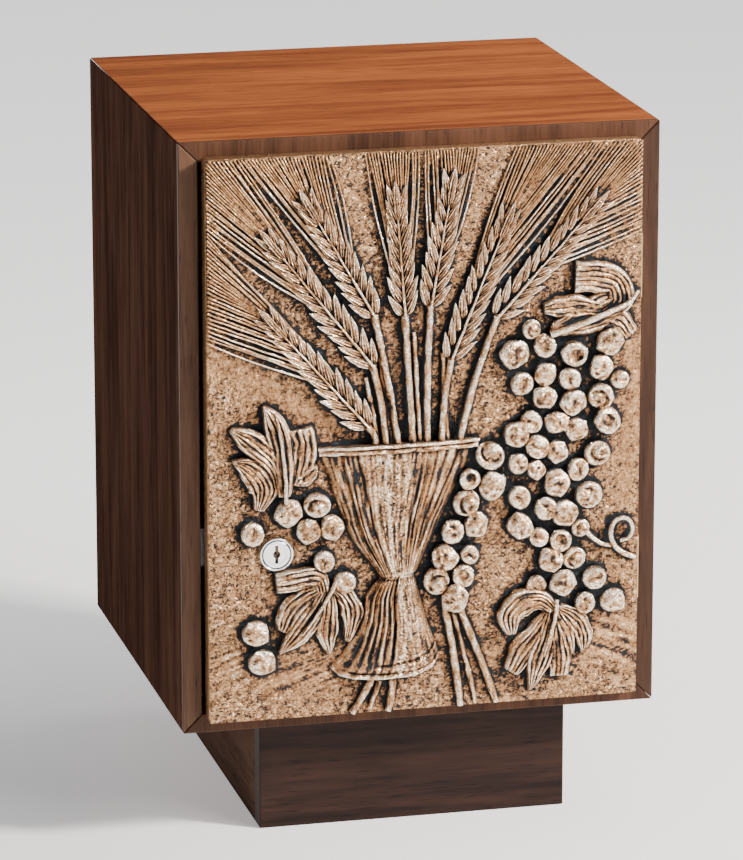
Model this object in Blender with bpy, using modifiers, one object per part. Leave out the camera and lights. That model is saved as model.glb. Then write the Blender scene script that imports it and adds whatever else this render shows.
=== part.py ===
"""Small wooden tabernacle on a plinth, closed by a cast bronze door in high relief.

Metres, +Z up. The door faces -Y and hangs on the right. The origin is the centre of the footprint,
on the surface that the plinth stands on.
"""

import math

import bmesh
import bpy
from mathutils import Matrix, Vector

# Case: four boards, a back and a thin strip on each front edge
CASE_WIDTH = 0.300
CASE_HEIGHT = 0.370
CASE_DEPTH = 0.280
BOARD = 0.012
BACK_BOARD = 0.008
LIPPING = 0.004
ARRIS = 0.0006
SEAT = 0.0003  # between pieces that touch

# Plinth
PLINTH_WIDTH = 0.196
PLINTH_HEIGHT = 0.072
PLINTH_SETBACK = 0.019
PLINTH_BOARD = 0.014
BLOCK = 0.020
BLOCK_GAP = 0.004  # from the block's underside to the surface
PLINTH_SCREW_BITE = 0.008

# Inside lining of thin sheet
SHEET = 0.001
LINING_START = 0.034  # behind the front edge, clear of the hinges and the strike

# Door: a tray casting with its relief, and a board let into its back
DOOR_SIDE_MARGIN = 0.014  # of the case's front that shows beside the door
DOOR_END_MARGIN = 0.009  # above and below the door
DOOR_PROUD = 0.012
SKIN = 0.0035
RIM = 0.003
RIM_CHAMFER = 0.0025
DOOR_CLEARANCE = 0.001  # from the rim to the case's front
RELIEF = 0.010
BEDDED = 0.001  # how far each relief shape runs into the skin
BACKING = 0.008
BACKING_SIDE_GAP = 0.0035  # from the case's side boards
BACKING_END_GAP = 0.002  # from the case's floor and roof
BOSS_RADIUS = 0.0045
BOSS_INSET = 0.012
DOOR_LINING_INSET = 0.022

# Hinges
HINGE_LENGTH = 0.040
HINGE_INSET = 0.080  # from the casting's top and bottom to each hinge's middle
KNUCKLE_RADIUS = 0.0027
PIN_RADIUS = 0.0012
PIN_PLAY = 0.00008
PIN_HEAD = 0.0009
LEAF = 0.0015
AXIS_INSET = 0.0005  # from the casting's right side
CASE_LEAF_LENGTH = 0.0275
DOOR_LEAF_LENGTH = 0.0235
KNUCKLE_GAP = 0.0003

# Lock
LOCK_ACROSS = 0.042  # from the casting's left side
LOCK_UP = 0.106  # from the casting's bottom
BEZEL_RADIUS = 0.0105
BEZEL_HEIGHT = 0.003
BARREL_RADIUS = 0.0085
PLUG_RADIUS = 0.0060
PLUG_PLAY = 0.0001
PLUG_SUNK = 0.0004
KEY_SLOT = (0.0016, 0.0108, 0.012)
KEY_HOLE_RADIUS = 0.0020
KEY_HOLE_DEPTH = 0.014
CENTRE_PIN_RADIUS = 0.00075
NUT_ACROSS = 0.022
NUT_THICK = 0.0035
CAM_LENGTH = 0.040
CAM_WIDTH = 0.012
CAM_THICK = 0.002
TAIL = 0.005
CAM_SCREW_HEAD = 0.0040
STRIKE_HEIGHT = 0.024
STRIKE_REACH = 0.009
STRIKE_LENGTH = 0.020
STRIKE_THICK = 0.0018

# Screws: shank radius, head radius, head height
SMALL_SCREW = (0.0012, 0.0024, 0.0012)
BACKING_SCREW = (0.0014, 0.0028, 0.0014)
PLINTH_SCREW = (0.0020, 0.0042, 0.0022)
HOLE_PLAY = 0.0002
HOLE_REST = 0.0005  # past a screw's tip

# Planes and levels worked out from the sizes above
FRONT = (DOOR_PROUD + RELIEF - CASE_DEPTH) / 2
REAR = FRONT + CASE_DEPTH
CASE_TOP = PLINTH_HEIGHT + CASE_HEIGHT
HALF = CASE_WIDTH / 2
OPENING = HALF - BOARD
FLOOR = PLINTH_HEIGHT + BOARD
ROOF = CASE_TOP - BOARD
DOOR_LEFT = DOOR_SIDE_MARGIN - HALF
DOOR_RIGHT = HALF - DOOR_SIDE_MARGIN
DOOR_BOTTOM = PLINTH_HEIGHT + DOOR_END_MARGIN
DOOR_TOP = CASE_TOP - DOOR_END_MARGIN
FACE = FRONT - DOOR_PROUD  # the casting's ground
SKIN_BACK = FACE + SKIN
RIM_BACK = FRONT - DOOR_CLEARANCE
BACKING_FRONT = RIM_BACK + SEAT
BACKING_REAR = BACKING_FRONT + BACKING
BACKING_RIGHT = OPENING - BACKING_SIDE_GAP
BACKING_BOTTOM = FLOOR + BACKING_END_GAP
BACKING_TOP = ROOF - BACKING_END_GAP
AXIS_X = DOOR_RIGHT - AXIS_INSET
AXIS_Y = SKIN_BACK + SEAT + KNUCKLE_RADIUS  # so that the knuckles just clear the skin
LOCK_X = DOOR_LEFT + LOCK_ACROSS
LOCK_Z = DOOR_BOTTOM + LOCK_UP

# The relief's layout, in mm across from the casting's left side and up from its bottom, drawn for a
# casting of this size and spread with it. A ridge is a list of stations: across, up, half width, height.
DRAWN_WIDTH = 272
DRAWN_HEIGHT = 352
CHALICE_BOWL = [(117, 89, 9, 7), (114, 111, 24, 9), (114, 135, 34, 9.5), (117, 162, 45, 9.5),
                (118, 166, 47, 8)]
CHALICE_RIM = [(69, 169, 2.5, 6), (95, 169, 3.5, 9.5), (118, 169, 3.5, 10), (143, 169, 3.5, 9.5),
               (168, 169, 2.5, 6)]
CHALICE_FOOT = [(118, 91, 9, 7), (115, 74, 18, 8), (114, 60, 22, 8.5), (111, 38, 33, 8), (110, 27, 34, 6)]
EARS = [(99, 183, 36, 255), (102, 221, 36, 304), (103, 252, 60, 326), (122, 251, 116, 328),
        (138, 256, 152, 335), (151, 222, 188, 312), (180, 247, 245, 317)]
STALK_FEET = [103, 110, 118, 127, 136, 145, 156]
STEMS = [(103, 26, 90, 2), (115, 26, 112, 2), (148, 64, 157, 2), (157, 64, 180, 2)]
LEAVES = [((46, 165), [(33, 198), (14, 186), (16, 168), (32, 138), (58, 148), (64, 175)]),
          ((70, 64), [(44, 90), (44, 52), (50, 42), (74, 42), (90, 54)]),
          ((240, 256), [(214, 238), (231, 274), (260, 268), (266, 240)]),
          ((214, 40), [(209, 66), (186, 56), (188, 26), (202, 12), (224, 18), (238, 40)])]
TENDRILS = [[(236, 114), (243, 107), (250, 101), (258, 99), (265, 103), (265, 110), (259, 114), (253, 111)],
            [(256, 97), (261, 93), (267, 91)]]
GRAPES = [(201, 238, 6), (190, 223, 9), (210, 227, 8), (229, 222, 8.5), (251, 228, 8), (195, 205, 8),
          (210, 210, 7), (226, 206, 8), (245, 212, 7.5), (258, 203, 6.5), (246, 194, 8), (210, 195, 7),
          (228, 191, 8), (202, 180, 8), (218, 178, 7), (231, 174, 7), (249, 178, 8), (192, 173, 8),
          (206, 164, 8), (218, 160, 7), (244, 158, 7.5), (193, 154, 7.5), (205, 149, 6),
          (231, 148, 7.5), (218, 140, 8), (238, 132, 8.5), (194, 133, 8.5), (211, 124, 8),
          (223, 121, 8), (195, 114, 8), (234, 110, 5.5), (207, 106, 7), (221, 103, 7), (215, 91, 7.5),
          (230, 92, 7), (205, 76, 6.5), (223, 76, 8), (243, 78, 8.5), (237, 62, 7.5), (255, 63, 8),
          (176, 160, 8), (163, 146, 7), (177, 141, 8), (161, 131, 7.5), (152, 113, 8), (167, 117, 7.5),
          (147, 97, 8), (163, 98, 7), (142, 83, 8), (159, 85, 7), (154, 71, 8.5), (49, 132, 8),
          (67, 136, 8), (26, 120, 8.5), (62, 120, 7), (76, 121, 7.5), (71, 100, 7.5), (84, 86, 8),
          (28, 57, 8), (32, 39, 8)]
MM = 0.001
ACROSS = (DOOR_RIGHT - DOOR_LEFT) / DRAWN_WIDTH
UP = (DOOR_TOP - DOOR_BOTTOM) / DRAWN_HEIGHT

parts = None
blanks = None
finishes = {}


# ---------------------------------------------------------------------------- tools
def start():
    """Empties the scene, and makes the collections and the finishes."""
    global parts, blanks
    for thing in list(bpy.data.objects):
        bpy.data.objects.remove(thing)
    parts = bpy.data.collections.new("tabernacle_box")
    blanks = bpy.data.collections.new("cutters_and_blanks")
    for group in (parts, blanks):
        bpy.context.scene.collection.children.link(group)
    looks = {
        "wood": ((0.22, 0.09, 0.045), 0.45, 0.0),
        "bronze": ((0.50, 0.31, 0.18), 0.35, 1.0),
        "gilt": ((0.78, 0.58, 0.22), 0.30, 1.0),
        "brass": ((0.70, 0.50, 0.22), 0.35, 1.0),
        "chrome": ((0.80, 0.80, 0.80), 0.12, 1.0),
        "steel": ((0.45, 0.45, 0.46), 0.35, 1.0),
    }
    for name, look in looks.items():
        finishes[name] = look


def new_material(name, finish):
    colour, roughness, metallic = finishes[finish]
    material = bpy.data.materials.new(name + "_" + finish)
    material.use_nodes = True
    shader = material.node_tree.nodes["Principled BSDF"]
    shader.inputs["Base Color"].default_value = (*colour, 1.0)
    shader.inputs["Roughness"].default_value = roughness
    shader.inputs["Metallic"].default_value = metallic
    return material


def add(name, bm, finish, place=(0, 0, 0)):
    """Turns a bmesh into a named piece, or into a cutter or blank where finish is None."""
    mesh = bpy.data.meshes.new(name)
    bm.to_mesh(mesh)
    bm.free()
    thing = bpy.data.objects.new(name, mesh)
    thing.location = place
    if finish:
        mesh.materials.append(new_material(name, finish))
        parts.objects.link(thing)
    else:
        thing.hide_render = True
        thing.display_type = "WIRE"
        blanks.objects.link(thing)
    return thing


def block(name, low, high, finish=None, arris=0.0):
    """A box between two corners, with its edges eased by arris. Its origin is its middle."""
    low, high = Vector(low), Vector(high)
    bm = bmesh.new()
    bmesh.ops.create_cube(bm, size=1.0, matrix=Matrix.Diagonal((*(high - low), 1.0)))
    if arris:
        bmesh.ops.bevel(bm, geom=bm.edges[:], offset=arris, segments=1, affect="EDGES")
    return add(name, bm, finish, (low + high) / 2)


def mitred(name, low, high, planes, finish):
    """A block with each corner past one of the planes (point, normal) cut off."""
    middle = (Vector(low) + Vector(high)) / 2
    size = Vector(high) - Vector(low)
    bm = bmesh.new()
    bmesh.ops.create_cube(bm, size=1.0, matrix=Matrix.Diagonal((*size, 1.0)))
    for point, normal in planes:
        whole = bm.verts[:] + bm.edges[:] + bm.faces[:]
        done = bmesh.ops.bisect_plane(bm, geom=whole, plane_co=Vector(point) - middle, plane_no=normal,
                                      clear_outer=True)
        edges = [e for e in done["geom_cut"] if isinstance(e, bmesh.types.BMEdge)]
        bmesh.ops.holes_fill(bm, edges=edges)
    bmesh.ops.bevel(bm, geom=bm.edges[:], offset=ARRIS, segments=1, affect="EDGES")
    return add(name, bm, finish, middle)


AIM = {"X": Matrix.Rotation(math.pi / 2, 4, "Y"), "Y": Matrix.Rotation(-math.pi / 2, 4, "X"), "Z": Matrix()}


def rod(name, start_point, length, radius, axis, finish=None, sides=16, end_radius=None):
    """A cylinder or cone from start_point along +X, +Y or +Z, or the other way for a negative length."""
    bm = bmesh.new()
    bmesh.ops.create_cone(bm, cap_ends=True, segments=sides, radius1=radius,
                          radius2=radius if end_radius is None else end_radius, depth=abs(length))
    flip = Matrix.Rotation(math.pi, 4, "X") if length < 0 else Matrix()
    bm.transform(AIM[axis] @ Matrix.Translation((0, 0, length / 2)) @ flip)
    thing = add(name, bm, finish, start_point)
    thing.data.set_sharp_from_angle(angle=math.radians(35))
    return thing


def boolean(thing, other, operation):
    change = thing.modifiers.new(operation.lower(), "BOOLEAN")
    change.operation = operation
    change.solver = "EXACT"
    change.object = other
    return thing


def cut(thing, *cutters):
    for cutter in cutters:
        boolean(thing, cutter, "DIFFERENCE")
    return thing


def join(thing, *others):
    for other in others:
        boolean(thing, other, "UNION")
    return thing


def shifted(point, axis, distance):
    moved = Vector(point)
    moved["XYZ".index(axis)] += distance
    return moved


def screw(name, head, axis, way, length, size, holders, finish="brass"):
    """A slotted countersunk screw whose head lies flush at head and whose shank runs way (+1 or -1)
    along axis. Each holder gets the hole for it."""
    shank, wide, high = size
    body = rod(name, head, way * high, wide, axis, finish, 12, shank)
    join(body, rod(name + "_shank", shifted(head, axis, way * high / 2), way * (length - high / 2),
                   shank, axis, None, 12))
    reach = {"X": (high * 0.4, wide * 3, wide * 0.3), "Y": (wide * 3, high * 0.4, wide * 0.3),
             "Z": (wide * 3, wide * 0.3, high * 0.4)}[axis]
    span = Vector(reach)
    cut(body, block(name + "_slot", Vector(head) - span, Vector(head) + span))
    mouth = shifted(head, axis, -way * SEAT)
    sink = rod(name + "_sink", mouth, way * (high + SEAT), wide + 2 * HOLE_PLAY, axis, None, 16,
               shank + HOLE_PLAY)
    hole = rod(name + "_hole", mouth, way * (length + SEAT + HOLE_REST), shank + HOLE_PLAY, axis, None, 16)
    for holder in holders:
        cut(holder, sink, hole)
    return body


# ---------------------------------------------------------------------------- case
def make_ring(names, front, rear):
    """Four boards mitred at the case's corners, between the planes front and rear."""
    share = SEAT * 0.7
    made = {}
    for side, way in (("left", -1), ("right", 1)):
        outer, inner = way * HALF, way * OPENING
        planes = [((outer, 0, CASE_TOP - share), (-way, 0, 1)),
                  ((outer, 0, PLINTH_HEIGHT + share), (-way, 0, -1))]
        made[side] = mitred(names.format(side), (min(outer, inner), front, PLINTH_HEIGHT),
                            (max(outer, inner), rear, CASE_TOP), planes, "wood")
    for side, way, edge in (("top", 1, CASE_TOP), ("bottom", -1, PLINTH_HEIGHT)):
        planes = [((-HALF + share, 0, edge), (-1, 0, -way)), ((HALF - share, 0, edge), (1, 0, -way))]
        inner = edge - way * BOARD
        made[side] = mitred(names.format(side), (-HALF, front, min(edge, inner)),
                            (HALF, rear, max(edge, inner)), planes, "wood")
    return made


def make_case():
    """A ring of boards, a thin strip on each front edge, and the back let in behind."""
    make_ring("edge_lipping_{}", FRONT, FRONT + LIPPING)
    case = make_ring("{}_panel", FRONT + LIPPING + SEAT, REAR)
    across = OPENING - SEAT
    block("back_panel", (-across, REAR - BACK_BOARD, FLOOR + SEAT), (across, REAR, ROOF - SEAT), "wood",
          ARRIS)
    return case


def make_lining():
    start_y = FRONT + LINING_START
    end_y = REAR - BACK_BOARD - 2 * SEAT
    side = OPENING - SEAT
    low, high = FLOOR + SEAT, ROOF - SEAT
    inner = side - SHEET - SEAT
    last = end_y - SHEET - SEAT
    block("lining_back", (-side, end_y - SHEET, low), (side, end_y, high), "gilt")
    block("lining_left", (-side, start_y, low), (-side + SHEET, last, high), "gilt")
    block("lining_right", (side - SHEET, start_y, low), (side, last, high), "gilt")
    block("lining_floor", (-inner, start_y, low), (inner, last, low + SHEET), "gilt")
    block("lining_roof", (-inner, start_y, high - SHEET), (inner, last, high), "gilt")


def make_plinth(bottom_panel):
    """A frame of four boards, and a block in each corner whose screw holds the case down."""
    half = PLINTH_WIDTH / 2
    front, rear = FRONT + PLINTH_SETBACK, REAR - PLINTH_SETBACK
    top = PLINTH_HEIGHT - SEAT
    block("plinth_front", (-half, front, 0), (half, front + PLINTH_BOARD, top), "wood", ARRIS)
    block("plinth_back", (-half, rear - PLINTH_BOARD, 0), (half, rear, top), "wood", ARRIS)
    inner_front, inner_rear = front + PLINTH_BOARD + SEAT, rear - PLINTH_BOARD - SEAT
    block("plinth_left", (-half, inner_front, 0), (-half + PLINTH_BOARD, inner_rear, top), "wood", ARRIS)
    block("plinth_right", (half - PLINTH_BOARD, inner_front, 0), (half, inner_rear, top), "wood", ARRIS)
    inside = half - PLINTH_BOARD - SEAT
    corners = {"front_left": (-1, inner_front), "front_right": (1, inner_front),
               "rear_left": (-1, inner_rear - BLOCK), "rear_right": (1, inner_rear - BLOCK)}
    for name, (way, y) in corners.items():
        x = way * inside if way < 0 else inside - BLOCK
        corner = block("plinth_block_" + name, (x, y, BLOCK_GAP), (x + BLOCK, y + BLOCK, top), "wood")
        head = (x + BLOCK / 2, y + BLOCK / 2, BLOCK_GAP)
        screw("plinth_screw_" + name, head, "Z", 1, PLINTH_HEIGHT - BLOCK_GAP + PLINTH_SCREW_BITE,
              PLINTH_SCREW, (corner, bottom_panel), "steel")


# ---------------------------------------------------------------------------- door
def on_casting(across, up, out):
    """A point of the relief's drawing, out in front of the casting's ground."""
    return (DOOR_LEFT + across * ACROSS, FACE - out, DOOR_BOTTOM + up * UP)


def ridge(name, stations, sides=6, level=False):
    """A relief shape of half-round sections, each (across, up, half width, height) in mm, level or
    square to the line through them. It is a loft between unlike sections, so its faces are made here."""
    bm = bmesh.new()
    points = [Vector((x, z)) for x, z, _, _ in stations]
    rings = []
    for i, (x, z, half, high) in enumerate(stations):
        run = (points[min(i + 1, len(points) - 1)] - points[max(i - 1, 0)]).normalized()
        square = Vector((1, 0)) if level else Vector((run.y, -run.x))
        ring = []
        for k in range(sides + 1):
            turn = math.pi * k / sides
            place = points[i] + square * half * math.cos(turn)
            out = high * math.sin(turn)
            ring.append(bm.verts.new(on_casting(place.x, place.y, out * MM)))
        for end in (-1, 1):
            place = points[i] + square * half * end
            ring.append(bm.verts.new(on_casting(place.x, place.y, -BEDDED)))
        rings.append(ring)
    count = len(rings[0])
    for one, two in zip(rings, rings[1:]):
        for k in range(count):
            after = (k + 1) % count
            bm.faces.new((one[k], one[after], two[after], two[k]))
    bm.faces.new(rings[0])
    bm.faces.new(rings[-1])
    bmesh.ops.recalc_face_normals(bm, faces=bm.faces)
    if bm.calc_volume(signed=True) < 0:
        bmesh.ops.reverse_faces(bm, faces=bm.faces)
    return add(name, bm, None)


def make_grape(number, x, z, radius):
    """A flat-topped drum with a slope to its side. Neighbours stand at unlike heights."""
    high = 6.0 + 0.37 * (number * 5 % 7) + 0.011 * number
    foot, tall = on_casting(x, z, -BEDDED), high * MM + BEDDED
    return rod(f"grape_{number}", foot, -tall, radius * MM, "Y", None, 7, radius * 0.72 * MM)


def make_vine_leaf(number, centre, tips):
    """A lobed outline, raised from the skin and drawn up to a point over its middle."""
    middle = Vector(centre)
    outline = []
    for one, two in zip(tips, tips[1:] + tips[:1]):
        between = (Vector(one) + Vector(two)) / 2
        outline += [Vector(one), middle + (between - middle) * 0.8]
    bm = bmesh.new()
    verts = [bm.verts.new(on_casting(p.x, p.y, -BEDDED)) for p in outline]
    lifted = bmesh.ops.extrude_face_region(bm, geom=[bm.faces.new(verts)])["geom"]
    rise = BEDDED + (3.3 + 0.13 * number) * MM
    bmesh.ops.translate(bm, verts=[v for v in lifted if isinstance(v, bmesh.types.BMVert)], vec=(0, -rise, 0))
    bmesh.ops.recalc_face_normals(bm, faces=bm.faces)
    if bm.calc_volume(signed=True) < 0:
        bmesh.ops.reverse_faces(bm, faces=bm.faces)
    top = [f for f in lifted if isinstance(f, bmesh.types.BMFace)]
    bmesh.ops.poke(bm, faces=top, offset=0.0032)
    return add(f"vine_leaf_{number}", bm, None)


def make_relief():
    """Every relief shape, as blanks that the casting is joined with."""
    shapes = [ridge("chalice_bowl", CHALICE_BOWL, 8, True), ridge("chalice_rim", CHALICE_RIM, 4),
              ridge("chalice_foot", CHALICE_FOOT, 8, True)]
    for number, (x0, z0, x1, z1) in enumerate(EARS):
        stations = [(x0 + (x1 - x0) * t, z0 + (z1 - z0) * t, half, high)
                    for t, half, high in ((0, 4, 4.5), (0.25, 9, 7.3), (0.7, 8, 6.7), (1, 2, 3.1))]
        shapes.append(ridge(f"ear_{number}", stations, 4))
        foot = STALK_FEET[number]
        shapes.append(ridge(f"stalk_{number}", [(foot, 164.3, 1.8, 3.3), (x0, z0 + 3.4, 1.8, 3.7)], 3))
    for number, (x0, z0, x1, z1) in enumerate(STEMS):
        shapes.append(ridge(f"stem_{number}", [(x0, z0, 2.4, 3.9), (x1, z1, 2, 3.1)], 3))
    for number, (centre, tips) in enumerate(LEAVES):
        shapes.append(make_vine_leaf(number, centre, tips))
    for number, line in enumerate(TENDRILS):
        shapes.append(ridge(f"tendril_{number}", [(x, z, 1.6, 2.6 + number) for x, z in line], 3))
    for number, grape in enumerate(GRAPES):
        shapes.append(make_grape(number, *grape))
    return shapes


def hinge_middles():
    return {"lower": DOOR_BOTTOM + HINGE_INSET, "upper": DOOR_TOP - HINGE_INSET}


def boss_places():
    """Where the four bosses stand, as the screws' x and z."""
    xs = {"left": DOOR_LEFT + BOSS_INSET, "right": DOOR_RIGHT - BOSS_INSET}
    zs = {"lower": BACKING_BOTTOM + BOSS_INSET, "upper": BACKING_TOP - BOSS_INSET}
    return {f"{up}_{side}": (x, z) for side, x in xs.items() for up, z in zs.items()}


def make_casting():
    """A tray: a skin with a rim round its back, four bosses, and the relief on its front."""
    bm = bmesh.new()
    size = (DOOR_RIGHT - DOOR_LEFT, RIM_BACK - FACE, DOOR_TOP - DOOR_BOTTOM, 1.0)
    bmesh.ops.create_cube(bm, size=1.0, matrix=Matrix.Diagonal(size))
    corners = [e for e in bm.edges if abs(e.verts[0].co.y - e.verts[1].co.y) > RIM]
    bmesh.ops.bevel(bm, geom=corners, offset=RIM_CHAMFER, segments=1, affect="EDGES")
    middle = (0, (FACE + RIM_BACK) / 2, (DOOR_BOTTOM + DOOR_TOP) / 2)
    casting = add("door_casting", bm, "bronze", middle)
    hollow = block("casting_hollow", (DOOR_LEFT + RIM, SKIN_BACK, DOOR_BOTTOM + RIM),
                   (DOOR_RIGHT - RIM, FRONT, DOOR_TOP - RIM))
    cut(casting, hollow)
    for name, (x, z) in boss_places().items():
        join(casting, rod("boss_" + name, (x, RIM_BACK, z), -(RIM_BACK - SKIN_BACK + BEDDED),
                          BOSS_RADIUS, "Y", None, 12))
    for name, z in hinge_middles().items():
        reach = HINGE_LENGTH / 2 + 2 * KNUCKLE_GAP + PIN_HEAD * 2
        cut(casting, block("hinge_notch_" + name, (DOOR_RIGHT - RIM - BEDDED, SKIN_BACK - SEAT, z - reach),
                           (DOOR_RIGHT + BEDDED, FRONT, z + reach)))
    join(casting, *make_relief())
    return casting


def make_backing(casting):
    backing = block("door_backing",
                    (-BACKING_RIGHT, BACKING_FRONT, BACKING_BOTTOM),
                    (BACKING_RIGHT, BACKING_REAR, BACKING_TOP), "wood", ARRIS)
    for name, (x, z) in boss_places().items():
        screw("backing_screw_" + name, (x, BACKING_REAR, z), "Y", -1, BACKING + SEAT + BOSS_RADIUS,
              BACKING_SCREW, (backing, casting))
    start_y = BACKING_REAR + SEAT
    lining = block("door_lining",
                   (DOOR_LEFT + DOOR_LINING_INSET, start_y, DOOR_BOTTOM + DOOR_LINING_INSET),
                   (DOOR_RIGHT - DOOR_LINING_INSET, start_y + SHEET, DOOR_TOP - DOOR_LINING_INSET), "gilt")
    return backing, lining


# ---------------------------------------------------------------------------- hinges
def knuckle_levels(middle):
    """The bottom and top of the three knuckles."""
    third = HINGE_LENGTH / 3
    low = middle - HINGE_LENGTH / 2
    return [(low + i * third + KNUCKLE_GAP / 2, low + (i + 1) * third - KNUCKLE_GAP / 2) for i in range(3)]


def make_leaf(name, low, high, levels, others):
    """A leaf plate, with a knuckle at each of its levels and room round the other leaf's knuckles."""
    leaf = block(name, low, high, "brass")
    room = KNUCKLE_RADIUS + KNUCKLE_GAP
    for number, (bottom, top) in enumerate(others):
        cut(leaf, block(f"{name}_room_{number}", (AXIS_X - room, AXIS_Y - room, bottom - KNUCKLE_GAP),
                        (AXIS_X + room, AXIS_Y + room, top + KNUCKLE_GAP)))
    for number, (bottom, top) in enumerate(levels):
        join(leaf, rod(f"{name}_knuckle_{number}", (AXIS_X, AXIS_Y, bottom), top - bottom,
                       KNUCKLE_RADIUS, "Z", None, 20))
    bore = rod(name + "_bore", (AXIS_X, AXIS_Y, low[2] - RIM), high[2] - low[2] + 2 * RIM,
               PIN_RADIUS + PIN_PLAY, "Z", None, 16)
    return cut(leaf, bore)


def make_hinge(which, middle, side_panel, casting):
    low, mid, top = knuckle_levels(middle)
    start_z, end_z = low[0], top[1]
    leaf_x = OPENING - SEAT - LEAF
    case_leaf = make_leaf(f"hinge_{which}_case_leaf", (leaf_x, AXIS_Y, start_z),
                          (leaf_x + LEAF, AXIS_Y + CASE_LEAF_LENGTH, end_z), (low, top), (mid,))
    leaf_y = SKIN_BACK + SEAT
    door_leaf = make_leaf(f"hinge_{which}_door_leaf", (AXIS_X - DOOR_LEAF_LENGTH, leaf_y, start_z),
                          (AXIS_X, leaf_y + LEAF, end_z), (mid,), (low, top))
    pin = rod(f"hinge_{which}_pin", (AXIS_X, AXIS_Y, start_z - PIN_HEAD), end_z - start_z + 2 * PIN_HEAD,
              PIN_RADIUS, "Z", "brass")
    join(pin, rod(f"hinge_{which}_pin_cap", (AXIS_X, AXIS_Y, end_z + KNUCKLE_GAP), PIN_HEAD,
                  KNUCKLE_RADIUS * 0.9, "Z"))
    for name, z in (("lower", middle - HINGE_LENGTH / 4), ("upper", middle + HINGE_LENGTH / 4)):
        case_head = (leaf_x, AXIS_Y + CASE_LEAF_LENGTH * 0.72, z)
        screw(f"hinge_{which}_case_screw_{name}", case_head, "X", 1, LEAF + SEAT + BOARD * 0.7,
              SMALL_SCREW, (case_leaf, side_panel))
        door_head = (AXIS_X - DOOR_LEAF_LENGTH * 0.62, leaf_y + LEAF, z)
        screw(f"hinge_{which}_door_screw_{name}", door_head, "Y", -1, LEAF + SEAT + SKIN * 0.65,
              SMALL_SCREW, (door_leaf, casting))


# ---------------------------------------------------------------------------- lock
def make_lock(casting, backing, lining, side_panel):
    """A cam lock. Its cam hangs down when open, and a quarter turn takes it behind the strike."""
    nose = FACE - BEZEL_HEIGHT
    nut_front = BACKING_REAR + SEAT + SHEET + SEAT
    barrel_end = nut_front + NUT_THICK + SEAT
    cam_front = barrel_end + SEAT
    cam_rear = cam_front + CAM_THICK
    tail_end = cam_rear + SEAT
    axis = (LOCK_X, 0, LOCK_Z)

    def turned(name, y0, y1, radius, finish=None, sides=32):
        return rod(name, shifted(axis, "Y", y0), y1 - y0, radius, "Y", finish, sides)

    well = turned("lock_well", FACE - RELIEF - SEAT, FACE - SEAT, BEZEL_RADIUS + SEAT * 2)
    way_through = turned("lock_hole", FACE - SEAT, barrel_end, BARREL_RADIUS + SEAT)
    cut(casting, well, way_through)
    cut(backing, way_through)
    cut(lining, way_through)

    housing = turned("lock_housing", nose, FACE - 2 * SEAT, BEZEL_RADIUS, "chrome")
    bevel = housing.modifiers.new("eased", "BEVEL")
    bevel.width = BEZEL_HEIGHT / 5
    bevel.segments = 2
    join(housing, turned("lock_barrel", FACE - BEZEL_HEIGHT / 2, barrel_end, BARREL_RADIUS))
    cut(housing, turned("plug_bore", nose - SEAT, barrel_end + SEAT, PLUG_RADIUS + PLUG_PLAY))

    plug = turned("lock_plug", nose + PLUG_SUNK, barrel_end, PLUG_RADIUS, "chrome")
    half_tail = TAIL / 2
    join(plug, block("plug_tail", (LOCK_X - half_tail, barrel_end - TAIL, LOCK_Z - half_tail),
                     (LOCK_X + half_tail, tail_end, LOCK_Z + half_tail)))
    wide, high, deep = KEY_SLOT
    cut(plug, block("key_slot", (LOCK_X - wide / 2, nose - SEAT, LOCK_Z - high / 2),
                    (LOCK_X + wide / 2, nose + deep, LOCK_Z + high / 2)))
    cut(plug, turned("key_hole", nose - SEAT, nose + KEY_HOLE_DEPTH, KEY_HOLE_RADIUS, None, 20))
    turned("lock_pin", nose + 2 * PLUG_SUNK, nose + KEY_HOLE_DEPTH - SEAT, CENTRE_PIN_RADIUS, "steel", 12)

    nut = turned("lock_nut", nut_front, nut_front + NUT_THICK, NUT_ACROSS / math.sqrt(3), "brass", 6)
    cut(nut, turned("nut_bore", nut_front - SEAT, barrel_end + SEAT, BARREL_RADIUS + HOLE_PLAY))

    half = CAM_WIDTH / 2
    cam = turned("lock_cam", cam_front, cam_rear, half, "steel", 24)
    join(cam, block("cam_arm", (LOCK_X - half * 0.96, cam_front + SEAT / 2, LOCK_Z - CAM_LENGTH),
                    (LOCK_X + half * 0.96, cam_rear - SEAT / 2, LOCK_Z), None, SEAT))
    hole = half_tail + HOLE_PLAY
    cut(cam, block("cam_square", (LOCK_X - hole, cam_front - SEAT, LOCK_Z - hole),
                   (LOCK_X + hole, cam_rear + SEAT, LOCK_Z + hole)))
    shank = SMALL_SCREW[0]
    cam_screw = turned("cam_screw", tail_end + SEAT, tail_end + SEAT + CAM_THICK, CAM_SCREW_HEAD, "steel", 20)
    join(cam_screw, turned("cam_screw_shank", barrel_end - TAIL, tail_end + CAM_THICK, shank, None, 12))
    slot = shank / 2
    cut(cam_screw, block("cam_screw_slot", (LOCK_X - CAM_WIDTH, tail_end + CAM_THICK, LOCK_Z - slot),
                         (LOCK_X + CAM_WIDTH, tail_end + 2 * CAM_THICK, LOCK_Z + slot)))
    cut(plug, turned("cam_screw_hole", barrel_end - TAIL - HOLE_REST, tail_end + SEAT, shank + HOLE_PLAY,
                     None, 12))
    make_strike(cam_front - SEAT, side_panel)


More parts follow.
